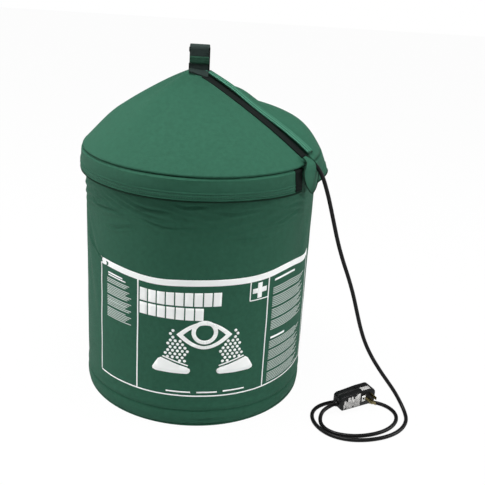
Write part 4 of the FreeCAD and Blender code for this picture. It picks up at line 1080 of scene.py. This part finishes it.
class BuildBinding(bpy.types.Operator):
    """Folds the binding tape over the jacket's rim and quilts the lining below it"""
    bl_idname = "eyewash.binding"
    bl_label = "Rim binding and lining"

    def execute(self, context):
        low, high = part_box("top_binding")
        middle = (WALL_RADIUS + LINER_RADIUS) / 2
        half = (WALL_RADIUS - LINER_RADIUS) / 2 + 0.7 * MM
        rounding = 3.2 * MM
        fall = high.z - low.z - 4 * MM

        def place(a, b):
            # Round the tape: down the outside, over the top and down the inside.
            drop = abs(b - 0.5) * 2
            side = -1 if b > 0.5 else 1
            over = smooth(0, 0.45, drop)
            radius = middle + side * half * math.sin(over * math.pi / 2)
            height = high.z - rounding * (1 - math.cos(over * math.pi / 2)) - smooth(0.4, 1, drop) * fall
            return around(radius, 360 * a, height)

        def flat(a, b):
            return a * math.tau * WALL_RADIUS, b * 0.055

        mesh = grid_mesh("rim_binding", 240, 24, place, flat, closed=True)
        mesh = finished_mesh(mesh, thickness=0.6 * MM)
        # The binding tape is drawn in the paler cloth, a painted highlight along the rim.
        new_piece("rim_binding", mesh, finish("highlight_polyester"), "jacket", ["top_binding"])
        # A row of stitches runs round each face of the tape, just above its lower edge.
        rows = [
            [around(radius, 3 * k, low.z + 3 * MM) for k in range(121)]
            for radius in (WALL_RADIUS + 0.9 * MM, LINER_RADIUS - 0.9 * MM)
        ]
        sew("binding_stitches", rows, "jacket")
        self.quilt_the_lining()
        return {"FINISHED"}

    def quilt_the_lining(self):
        """The lining, puffed out between level rows of quilting."""
        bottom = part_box("jacket_liner")[0].z
        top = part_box("jacket_liner")[1].z - 10 * MM
        channels = 9

        def place(a, b):
            puff = abs(math.sin(math.pi * channels * b)) ** 0.6
            ripple = 0.25 * noise.noise(around(3, 360 * a, b * 9))
            radius = LINER_RADIUS + 0.9 * MM - 1.1 * MM * puff * (1 + ripple)
            return around(radius, 360 * a, bottom + (top - bottom) * b)

        def flat(a, b):
            return a * math.tau * LINER_RADIUS, b * (top - bottom)

        mesh = grid_mesh("quilted_lining", 180, 108, place, flat, closed=True)
        mesh = finished_mesh(mesh, thickness=0.5 * MM, offset=1.0)
        lining = new_piece(
            "quilted_lining", mesh, finish("lining_polyester"), "jacket", ["jacket_liner"],
        )


# ---- print ---------------------------------------------------------------------------------------
def cut_places(values, step, normal):
    """Where to cut at whole steps between the lowest and highest value, each with its plane's normal."""
    first, last = math.ceil(min(values) / step), int(max(values) // step)
    return [(k * step, normal) for k in range(first, last + 1)]


def print_patch(name, shapes, material="screen_ink"):
    """Ink on the wall. A shape is a list of azimuths and heights in mm, cut fine and laid on the cloth."""
    ink = bpy.context.scene.eyewash_print.ink_thickness
    work = bmesh.new()
    for shape in shapes:
        work.faces.new([work.verts.new((azimuth, height, 0)) for azimuth, height in shape])
    # Cut every 2 degrees and every 9 mm, so that the ink can follow the cloth.
    cuts = cut_places([vertex.co.x for vertex in work.verts], 2.0, (1, 0, 0))
    cuts += cut_places([vertex.co.y for vertex in work.verts], 9.0, (0, 1, 0))
    for at, normal in cuts:
        bmesh.ops.bisect_plane(
            work, geom=work.verts[:] + work.edges[:] + work.faces[:],
            plane_co=Vector(normal) * at, plane_no=normal,
        )
    bmesh.ops.recalc_face_normals(work, faces=work.faces)
    for vertex in work.verts:
        azimuth = vertex.co.x
        # The printed cloth sags and pulls up at its head.
        sag = 7 * hump(azimuth, -38, 13) - 5 * hump(azimuth, -107, 15)
        height = (vertex.co.y + sag * smooth(235, 300, vertex.co.y)) * MM
        vertex.co = around(wall_radius(azimuth, height) + ink, azimuth, height)
    mesh = bpy.data.meshes.new(name)
    work.to_mesh(mesh)
    work.free()
    outward = sum(face.normal.dot(face.center.normalized()) * face.area for face in mesh.polygons)
    if outward < 0:
        mesh.flip_normals()
    mesh = finished_mesh(mesh, thickness=ink * 0.8)
    mesh.name = name
    return new_piece(name, mesh, finish(material), "jacket")


def degrees(length_mm):
    """An arc length on the wall in millimetres, as degrees."""
    return math.degrees(length_mm * MM / WALL_RADIUS)


def bar(azimuth_low, azimuth_high, height_low, height_high):
    return [
        (azimuth_low, height_low), (azimuth_high, height_low),
        (azimuth_high, height_high), (azimuth_low, height_high),
    ]


def upright(azimuth, height_low, height_high, width):
    half = degrees(width) / 2
    return bar(azimuth - half, azimuth + half, height_low, height_high)


def disc(azimuth, height, radius, sides=12):
    return [
        (
            azimuth + degrees(radius) * math.cos(math.tau * k / sides),
            height + radius * math.sin(math.tau * k / sides),
        )
        for k in range(sides)
    ]


def hoop(azimuth, height, outer, inner, sides=40):
    """A ring of ink as short four-sided pieces."""
    pieces = []
    for k in range(sides):
        start, stop = math.tau * k / sides, math.tau * (k + 1) / sides
        pieces.append([
            (azimuth + degrees(radius) * math.cos(angle), height + radius * math.sin(angle))
            for radius, angle in ((inner, start), (outer, start), (outer, stop), (inner, stop))
        ])
    return pieces


class BuildPrint(bpy.types.Operator):
    """Prints the panel on the wall: a frame, blank text bars, a cross, and an eye between two sprays"""
    bl_idname = "eyewash.panel_print"
    bl_label = "Printed panel"

    # The frame's uprights as azimuths, its lower line and the band on its head in mm, and the eye's middle.
    LEFT, INNER_LEFT, INNER_RIGHT, RIGHT = -140.5, -115.3, -50.3, -11.0
    LOW, HIGH, BAND = 68.0, 304.5, 12.5
    EYE = (-82.1, 202.0)
    # How far the eye's corners are from its middle, and how pointed its lids are.
    EYE_HALF, LID_POWER = 53.0, 1.9
    # The height of one rule in mm.
    RULE = 1.5

    def execute(self, context):
        width = context.scene.eyewash_print.line_width / MM
        self.print_frame(width)
        self.print_bars()
        self.print_cross(width)
        self.print_eye()
        self.print_sprays(context.scene.eyewash_print.dot_radius / MM)
        return {"FINISHED"}

    def print_frame(self, width):
        shapes = [
            bar(self.LEFT, self.RIGHT, self.HIGH, self.HIGH + self.BAND),
            bar(self.LEFT, self.RIGHT, self.LOW - width / 2, self.LOW + width / 2),
        ]
        for azimuth in (self.LEFT, self.INNER_LEFT, self.INNER_RIGHT, self.RIGHT):
            shapes.append(upright(azimuth, self.LOW + width / 2, self.HIGH, width))
        print_patch("panel_frame", shapes)

    def print_bars(self):
        """Blank bars and fine rules where a maker would put words."""
        blocks = []
        # Two rows of blocks: how many, left and right azimuth, lowest and highest height.
        for count, left, right, low, high in (
            (9, -114.2, -74.2, 263, 291), (7, -114.2, -82.4, 233.5, 259),
        ):
            pitch = (right - left) / count
            blocks += [bar(left + pitch * k, left + pitch * (k + 0.86), low, high) for k in range(count)]
        print_patch("title_blocks", blocks)
        rules = []
        # Three fields of rules: lowest and highest height, left and right azimuth, and spacing.
        for low, high, left, right, spacing in (
            (199, 283, -135.5, -119.2, 3.5), (191, 284, -47.2, -18.0, 3.6),
            (74, 168, -47.2, -18.0, 3.6),
        ):
            count = int((high - low) / spacing)
            for k in range(count):
                # Every seventh rule is left out, as between two paragraphs, and the rest differ in length.
                if k % 7 == 6:
                    continue
                short = (right - left) * 0.07 * ((k * 7) % 4)
                foot = low + k * spacing
                rules.append(bar(left, right - short, foot, foot + self.RULE))
        print_patch("text_rules", rules, "faint_ink")
        heads = [
            bar(-134.5, -124.5, 291, 294), bar(-134.5, -122.5, 286.5, 289), bar(-46.6, -30, 292, 296),
            bar(-46.6, -36, 171, 175), bar(-100, -88, 75, 78), bar(-85, -75, 75, 78),
            bar(-72, -61, 76, 79),
        ]
        print_patch("text_heads", heads)

    def print_cross(self, width):
        """A cross in its own small frame at the panel's upper right."""
        left, right, low, high = -60.6, self.INNER_RIGHT, 266.0, self.HIGH
        middle_turn, middle_up = (left + right) / 2, (low + high) / 2 - 0.5
        arm, half = 15.5, 4.9
        print_patch("cross", [
            upright(left, low, high, width * 0.8),
            bar(left, right, low - 1, low + 1),
            bar(middle_turn - degrees(half), middle_turn + degrees(half), middle_up - arm, middle_up + arm),
            bar(middle_turn - degrees(arm), middle_turn - degrees(half), middle_up - half, middle_up + half),
            bar(middle_turn + degrees(half), middle_turn + degrees(arm), middle_up - half, middle_up + half),
        ])

    def lid_arc(self, share, side, grow):
        """A point on the eye's upper or lower lid."""
        azimuth, height = self.EYE
        half, rise = self.EYE_HALF + grow * 1.8, 29.0 + grow
        x = share * 2 - 1
        return azimuth + degrees(half * x), height + side * rise * (1 - abs(x) ** self.LID_POWER)

    def print_eye(self):
        """Two lids and a ring between them, each a band of ink."""
        steps, band = 28, 7
        shapes = []
        for side in (1, -1):
            for k in range(steps):
                a, b = k / steps, (k + 1) / steps
                shapes.append([
                    self.lid_arc(a, side, -band), self.lid_arc(b, side, -band),
                    self.lid_arc(b, side, 0), self.lid_arc(a, side, 0),
                ])
        azimuth, height = self.EYE
        shapes += hoop(azimuth, height + 6.5, 25.0, 17.0)
        # A piece whose corners fall together, at the ends of the lids, is left out.
        whole = [shape for shape in shapes if len({(round(x, 4), round(y, 4)) for x, y in shape}) == 4]
        print_patch("eye", whole)

    def print_sprays(self, radius):
        """Rows of dots that widen from each nozzle up to the eye's corner."""
        dots, heads = [], []
        centre = self.EYE[0]
        for side in (-1, 1):
            for row in range(11):
                height = 145.5 + 7.1 * row
                for k in range(12):
                    away = 4.4 + (k + 0.5 * (row % 2)) * degrees(9.4)
                    if self.in_spray(away, height) and self.outside_eye(centre + side * away, height):
                        dots.append(disc(centre + side * away, height, radius))
            # The nozzle's outline and its lip, as degrees from the eye's middle and height in mm.
            head = [
                (6.9, 119.5), (8.0, 117.6), (15.5, 117.4), (23.2, 118.2), (24.8, 120.8), (25.0, 125.5),
                (23.6, 136), (22.2, 145), (20.8, 148.8), (17.0, 143.5), (12.2, 136.5), (8.2, 132.2),
                (6.6, 128.5), (6.3, 124),
            ]
            lip = [(7.6, 134.6), (20.2, 151.0), (19.6, 153.0), (7.3, 136.8)]
            heads += [[(centre + side * turn, height) for turn, height in shape] for shape in (head, lip)]
        print_patch("spray_dots", dots)
        print_patch("spray_heads", heads)

    def in_spray(self, away, height):
        """Whether a dot lies in the spray, from its distance to the eye's middle and its height."""
        share = (height - 143) / (216 - 143)
        outer = 20.2 - 4.4 * share
        inner = 8.6 - 3.4 * share if height < 180 else 4.0 + (height - 178) * 0.26
        lower = 134 + (away - 7.6) * 1.3 + 5
        return inner <= away <= outer and height >= lower

    def outside_eye(self, azimuth, height):
        """Whether a dot is clear of the eye, by a little more than the eye's own size."""
        x = (azimuth - self.EYE[0]) / degrees(58)
        if abs(x) >= 1:
            return True
        return abs(height - self.EYE[1]) > 31 * (1 - abs(x) ** self.LID_POWER) + 2.5


# ---- lid -----------------------------------------------------------------------------------------
class BuildLid(bpy.types.Operator):
    """Makes the lid's padded cone with its slit and notch"""
    bl_idname = "eyewash.lid"
    bl_label = "Lid cone"

    def execute(self, context):
        settings = context.scene.eyewash_jacket
        # The cloth starts this share of the way down, under its own cap.
        top_share = 0.03

        def half_gap(share):
            """Half the opening along the slit, in degrees: closed above and 9 mm to each side of the lead."""
            opening = 0.3 * MM + 8.7 * MM * smooth(0.84, 0.9, share)
            return math.degrees(opening / max(share * RIM_RADIUS, 15 * MM))

        def place(a, b):
            share = top_share + 0.97 * b
            gap = half_gap(share)
            return lid_point(SLIT + gap + (360 - 2 * gap) * a, share)

        def flat(a, b):
            return a * math.tau * 0.15, b * 0.27

        mesh = grid_mesh("lid_cloth", 300, 90, lambda a, b: place(a, 1 - b), flat)
        mesh = finished_mesh(mesh, thickness=settings.lid_thickness)
        lid = new_piece("lid_cloth", mesh, finish("coated_polyester"), "lid", ["lid_cone"])

        def cap_place(a, b):
            return lid_point(360 * a, 0.034 * (1 - b)) + Vector((0, 0, 0.6 * MM))

        cap = grid_mesh("apex_cap", 24, 3, cap_place, lambda a, b: (a * 0.03, b * 0.01), closed=True)
        cap = finished_mesh(cap, thickness=1.2 * MM)
        new_piece("apex_cap", cap, finish("coated_polyester"), "lid")
        return {"FINISHED"}


class BuildSkirt(bpy.types.Operator):
    """Hangs the padded skirt from the lid's rim, with its hem, stitches and hook patch"""
    bl_idname = "eyewash.skirt"
    bl_label = "Lid skirt"

    def execute(self, context):
        settings = context.scene.eyewash_jacket
        start, stop = SKIRT_OPEN[1], SKIRT_OPEN[0] + 360
        across, up = 320, 48

        def turn(share):
            return start + (stop - start) * share

        def place(a, b):
            return skirt_point(turn(a), 1 - b)

        def flat(a, b):
            return a * math.tau * RIM_RADIUS, b * 0.045

        mesh = grid_mesh("lid_skirt_cloth", across, up, place, flat)
        mesh = finished_mesh(mesh, thickness=settings.skirt_thickness)
        skirt = new_piece(
            "lid_skirt_cloth", mesh, finish("coated_polyester"), "lid", ["lid_skirt"],
        )
        rows = []
        for share in (0.76, 0.89):
            rows.append([
                self.off_skirt(start + 1 + (stop - start - 2) * k / 240, share, 0.2 * MM) for k in range(241)
            ])
        sew("hem_stitches", rows, "lid")
        # Dark cords as painted shade: in the crevice where the skirt meets the lid's rim, and as a painted
        # shadow under the hem. Share of the skirt's height, lift, half width and thickness.
        for name, share, lift, half_width, thickness in (
            ("rim_seam_shade", 0.03, 0.2 * MM, 1.2 * MM, 2.2 * MM),
            ("hem_shadow_cord", 1.06, -1.6 * MM, 2.0 * MM, 3.0 * MM),
        ):
            piping = tape_mesh(
                name, 240, lambda b: self.off_skirt(turn(b), share, lift), lambda b: around(1, turn(b), 0),
                lambda b: Vector((0, 0, 1)), half_width, thickness, 1.0,
            )
            new_piece(name, piping, finish("shade_cord"), "lid")
        self.patch()
        return {"FINISHED"}

    def off_skirt(self, azimuth, share, lift):
        """A point that stands off the skirt by that lift."""
        return skirt_point(azimuth, share) + around(lift, azimuth, 0)

    def patch(self):
        """The hook patch at the skirt's front end."""
        low, high = -40.4 + 360, SKIRT_OPEN[0] + 360

        def place(a, b):
            return self.off_skirt(low + (high - low) * a, 0.02 + 0.96 * (1 - b), 1.1 * MM)

        mesh = grid_mesh("hook_patch", 12, 20, place, lambda a, b: (a * 0.025, b * 0.04))
        mesh = finished_mesh(mesh, thickness=1.4 * MM)
        new_piece("hook_patch", mesh, finish("hook_tape"), "lid", ["skirt_hook_patch"])


# The direction out of the lid's face along the slit.
SLIT_UP = Vector((0.35, -0.16, 0.92)).normalized()


class BuildSlit(bpy.types.Operator):
    """Lays the hook strip down the slit and the flap's hem over it, with highlight folds and dark shade cords
    along the flap
    """
    bl_idname = "eyewash.slit"
    bl_label = "Slit and flap"

    def execute(self, context):
        up = SLIT_UP
        # The hook strip is drawn wider than the tape, so that its black also paints the shade that the flap's
        # edge casts on it.
        self.tape(
            "hook_strip", self.strip_middle, 11.5 * MM, 1.8 * MM, 0.35, "hook_tape", ["slit_hook_strip"],
        )
        # The flap's hem is drawn in the paler cloth, a painted highlight.
        self.tape(
            "flap_hem", self.on_flap(12 * MM, 0), 10.5 * MM, 3.8 * MM, 0.5, "highlight_polyester", ["slit_flap"],
        )
        # The folds along the flap, drawn in a painted highlight, and the dark cords beside them, painted
        # shade: how far aside and how far raised.
        for name, aside, raised in (
            ("flap_fold", 3 * MM, 1.6 * MM), ("flap_middle_fold", 10.5 * MM, 1.2 * MM),
            ("flap_back_fold", 21 * MM, 0.6 * MM),
        ):
            self.tape(name, self.on_flap(aside, raised), 2.4 * MM, 3 * MM, 0.8, "fold_highlight_polyester")
        for name, aside, raised in (
            ("flap_seam_shade", 6.8 * MM, 1.7 * MM), ("flap_back_shade", 24.5 * MM, -1.4 * MM),
        ):
            self.tape(name, self.on_flap(aside, raised), 2.2 * MM, 2.2 * MM, 1.0, "shade_cord")
        steps = 90
        rows = [
            [
                beside_slit(0.095 + 0.855 * k / steps, aside, self.hem_lift(k / steps)) + up * 1.9 * MM
                for k in range(steps + 1)
            ]
            for aside in (5 * MM, 15.5 * MM)
        ]
        sew("flap_stitches", rows, "lid")
        return {"FINISHED"}

    def tape(self, name, middle, half_width, thickness, rounded, material, nodes=()):
        """A tape that runs down beside the slit."""
        across = across_slit()
        mesh = tape_mesh(
            name, 80, middle, lambda b: across, lambda b: SLIT_UP, half_width, thickness, rounded,
        )
        new_piece(name, mesh, finish(material), "lid", nodes)

    def strip_middle(self, b):
        return beside_slit(0.1 + 0.85 * b, -9 * MM, 1.0 * MM)

    def hem_lift(self, b):
        """How far the flap's hem stands off the lid, waving a little along its length."""
        return (5.2 + 2.2 * math.sin(b * 8 + 0.6) * smooth(0, 0.3, b)) * MM

    def on_flap(self, aside, raised):
        """A line down the flap."""
        return lambda b: beside_slit(0.085 + 0.875 * b, aside, self.hem_lift(b) + raised)


# The leaf from its tip upwards: height, left and right edge as azimuths, and radius.
LEAF = (
    (455.5, -26.6, -26.0, 243.5), (462, -29.4, -23.2, 243.8), (470, -31.6, -22.0, 244.0),
    (479, -33.6, -21.3, 244.2), (490, -35.4, -21.4, 244.2), (500, -36.4, -22.4, 244.0),
    (508, -36.4, -24.0, 243.6), (516, -35.0, -25.8, 242.4), (523, -33.0, -27.2, 238),
    (529, -32.2, -28.8, 228),
)
TONGUE_TURN = -31.3
TONGUE_BODY = [
    body for body, nodes in frame["record"]["behaviour"]["bodies"].items() if "cable_tongue" in nodes
][0]


class BuildTongue(bpy.types.Operator):
    """Makes the leaf of cloth below the lead's exit"""
    bl_idname = "eyewash.tongue"
    bl_label = "Tongue"

    def execute(self, context):
        def side(b, column):
            """One column of the leaf's table, at a share of the way up from its tip."""
            run = b * (len(LEAF) - 1)
            k = min(int(run), len(LEAF) - 2)
            low, high = LEAF[k][column], LEAF[k + 1][column]
            return low + (high - low) * (run - k)

        def place(a, b):
            height, left, right, radius = (side(b, column) for column in range(4))
            bow = 2.2 * math.sin(math.pi * a) * math.sin(math.pi * b)
            ripple = 0.8 * noise.noise(Vector((a * 2, b * 4, 7)))
            return around((radius + bow + ripple) * MM, left + (right - left) * a, height * MM)

        mesh = grid_mesh("tongue_leaf", 24, 54, place, lambda a, b: (a * 0.05, b * 0.076))
        mesh = finished_mesh(mesh, thickness=1.4 * MM)
        # The leaf is drawn in the paler cloth, a painted highlight.
        leaf = new_piece(
            "tongue_leaf", mesh, finish("highlight_polyester"), TONGUE_BODY, ["cable_tongue"],
        )
        self.shade_the_leaf_edge(place)
        self.root()
        return {"FINISHED"}

    def root(self):
        """The leaf's root, which lies over the rim's binding and turns down at its outer end."""
        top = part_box("top_binding")[1].z
        out = around(1, TONGUE_TURN, 0)
        across = around(1, TONGUE_TURN + 90, 0)

        def middle(b):
            return out * (0.212 + 0.029 * b) + Vector((0, 0, top + 1.3 * MM - 9 * MM * b ** 3))

        tape = tape_mesh(
            "tongue_root", 16, middle, lambda b: across, lambda b: Vector((0, 0, 1)), 7 * MM, 1.6 * MM,
        )
        # The root is drawn in the paler cloth, a painted highlight.
        new_piece("tongue_root", tape, finish("highlight_polyester"), TONGUE_BODY)

    def shade_the_leaf_edge(self, place):
        """A dark cord round the leaf's edge, painted shade along its outline."""
        steps = 40
        line = [place(0, k / steps) for k in range(steps, -1, -1)]
        line += [place(1, k / steps) for k in range(1, steps + 1)]

        def middle(b):
            run = b * (len(line) - 1)
            k = min(int(run), len(line) - 2)
            point = line[k].lerp(line[k + 1], run - k)
            return point + Vector((point.x, point.y, 0)).normalized() * 0.3 * MM

        out = around(1, -30, 0)
        edge = tape_mesh(
            "leaf_edge_shade", 120, middle, lambda b: Vector((-out.y, out.x, 0)), lambda b: out,
            1.1 * MM, 2.2 * MM, 1.0,
        )
        new_piece("leaf_edge_shade", edge, finish("shade_cord"), TONGUE_BODY)


class BuildLoop(bpy.types.Operator):
    """Folds the webbing carry loop and its fastener patches"""
    bl_idname = "eyewash.carry_loop"
    bl_label = "Carry loop"

    def execute(self, context):
        low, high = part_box("carry_loop")
        width = high.x - low.x
        half = (high.y - low.y) / 2
        webbing = 3.2 * MM
        straight = high.z - half - low.z + 6 * MM
        arch = math.pi * (half - webbing / 2)
        total = straight * 2 + arch

        def path(b):
            """The webbing's middle and its outward way: up the back, over the top and down the front."""
            run = b * total
            reach = half - webbing / 2
            if run < straight:
                return Vector((0, reach, high.z - half - straight + run)), Vector((0, 1, 0))
            if run < straight + arch:
                angle = (run - straight) / reach
                way = Vector((0, math.cos(angle), math.sin(angle)))
                return Vector((0, 0, high.z - half)) + way * reach, way
            return Vector((0, -reach, high.z - half - (run - straight - arch))), Vector((0, -1, 0))

        middle_x = (low.x + high.x) / 2
        mesh = tape_mesh(
            "loop_webbing", 90, lambda b: path(b)[0] + Vector((middle_x, 0, 0)), lambda b: Vector((1, 0, 0)),
            lambda b: path(b)[1], width / 2, webbing, 0.22,
        )
        new_piece("loop_webbing", mesh, finish("webbing_nylon"), "lid", ["carry_loop"])
        self.front_foot(middle_x, width / 2)
        self.patches(low, high, middle_x)
        return {"FINISHED"}

    def front_foot(self, middle_x, half_width):
        """The loop's end, sewn flat on the front of the lid below its apex."""
        def centre(b):
            ahead = (4 + 20 * b) * MM
            aside = middle_x - APEX.x
            azimuth = math.degrees(math.atan2(-ahead, aside))
            reach = RIM_RADIUS - APEX.x * math.cos(math.radians(azimuth))
            point = lid_point(azimuth, math.hypot(ahead, aside) / reach)
            return Vector((middle_x, -ahead, point.z + 1.6 * MM))

        foot = tape_mesh(
            "loop_foot", 10, centre, lambda b: Vector((1, 0, -0.06 - 0.2 * b)).normalized(),
            lambda b: Vector((0, -0.5, 0.87)), half_width, 2 * MM,
        )
        new_piece("loop_foot", foot, finish("webbing_nylon"), "lid")

    def patches(self, low, high, middle_x):
        """A green band across the middle of the loop's front, and black tape along its edges."""
        front = low.y - 0.9 * MM
        half_width = (high.x - low.x) / 2
        band_foot, band_height = 0.668, 0.014
        band = tape_mesh(
            "loop_band", 4, lambda b: Vector((middle_x, front, band_foot + band_height * b)),
            lambda b: Vector((1, 0, 0)), lambda b: Vector((0, -1, 0)), half_width - 0.4 * MM, 1.4 * MM, 0.3,
        )
        new_piece("loop_band", band, finish("webbing_green"), "lid", ["loop_fasteners"])
        for name, x, z_low, z_high in (
            ("loop_edge_right", high.x, 0.651, high.z - 5 * MM),
            ("loop_edge_left", low.x, 0.690, high.z - 6 * MM),
            ("loop_edge_left_low", low.x, 0.652, band_foot),
        ):
            edge = tape_mesh(
                name, 24, lambda b: Vector((x, low.y + 2.5 * MM, z_low + (z_high - z_low) * b)),
                lambda b: Vector((0, 1, 0)), lambda b: Vector((1, 0, 0)), 3 * MM, 2.2 * MM, 0.5,
            )
            new_piece(name, edge, finish("edge_tape"), "lid")


# ---- finishes of the CAD nodes -------------------------------------------------------------------
NODE_FINISHES = {
    "moulded_black": [
        "cord_gland", "strain_relief", "air_valve_cap", "reset_button", "test_button", "cord_boot",
        "thermostat",
    ],
    "coated_polyester": ["jacket_base"],
    "vinyl_lead": ["heater_lead"],
    "brushed_stainless": ["tank_shell", "foot_ring", "head_fitting"],
    "drawn_stainless": ["tank_handle_right", "tank_handle_left", "dip_tube"],
    "nitrile": ["fill_gasket"],
    "moulded_yellow": ["fill_cap", "dust_cap_left", "dust_cap_right", "valve_lever"],
    "moulded_green": ["eyewash_yoke", "nozzle_left", "nozzle_right"],
    "moulded_white": ["gauge_dial", "nozzle_rose_left", "nozzle_rose_right"],
    "machined_brass": ["air_valve", "relief_valve", "gauge_movement", "valve_body", "valve_stem"],
    "worn_brass": ["line_blade", "neutral_blade", "ground_pin"],
    "nickel_plate": ["relief_pull_ring", "gauge_case", "valve_ball", "plug_screws"],
    "clear_window": ["gauge_lens"],
    "moulded_red": ["gauge_needle"],
    "laminate_board": ["breaker_board"],
}


class FinishNodes(bpy.types.Operator):
    """Gives the tank, its fittings and the plug's parts their finishes"""
    bl_idname = "eyewash.finishes"
    bl_label = "Tank and fittings"

    def execute(self, context):
        for name, nodes in NODE_FINISHES.items():
            for node in nodes:
                finish_node(node, name)
        return {"FINISHED"}


# ---- add-on --------------------------------------------------------------------------------------
SETTINGS = {
    "eyewash_jacket": JacketSettings,
    "eyewash_sewing": SewingSettings,
    "eyewash_print": PrintSettings,
    "eyewash_lead": LeadSettings,
    "eyewash_studio": StudioSettings,
}
STEPS = [
    BuildStage, BuildLead, BuildWall, BuildBinding, BuildPrint, BuildLid, BuildSkirt, BuildSlit, BuildTongue,
    BuildLoop, FinishNodes,
]


class EyewashPanel(bpy.types.Panel):
    """Lists the sizes, the colours and the steps"""
    bl_idname = "VIEW3D_PT_eyewash"
    bl_label = "Eyewash jacket"
    bl_space_type = "VIEW_3D"
    bl_region_type = "UI"
    bl_category = "Eyewash"

    def draw(self, context):
        for name, group in SETTINGS.items():
            box = self.layout.box()
            for setting in group.__annotations__:
                box.prop(getattr(context.scene, name), setting)
        for step in STEPS:
            self.layout.operator(step.bl_idname)


def register():
    for name, group in SETTINGS.items():
        bpy.utils.register_class(group)
        setattr(bpy.types.Scene, name, bpy.props.PointerProperty(type=group))
    for step in STEPS:
        bpy.utils.register_class(step)
    bpy.utils.register_class(EyewashPanel)


def unregister():
    bpy.utils.unregister_class(EyewashPanel)
    for step in reversed(STEPS):
        bpy.utils.unregister_class(step)
    for name, group in SETTINGS.items():
        delattr(bpy.types.Scene, name)
        bpy.utils.unregister_class(group)


def main():
    register()
    for step in STEPS:
        area, name = step.bl_idname.split(".")
        getattr(getattr(bpy.ops, area), name)()
    boxes = {"cad": CAD_BOX, "visual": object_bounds()}
    {name: [list(corner) for corner in box] for name, box in boxes.items()}


if __name__ == "__main__":
    main()
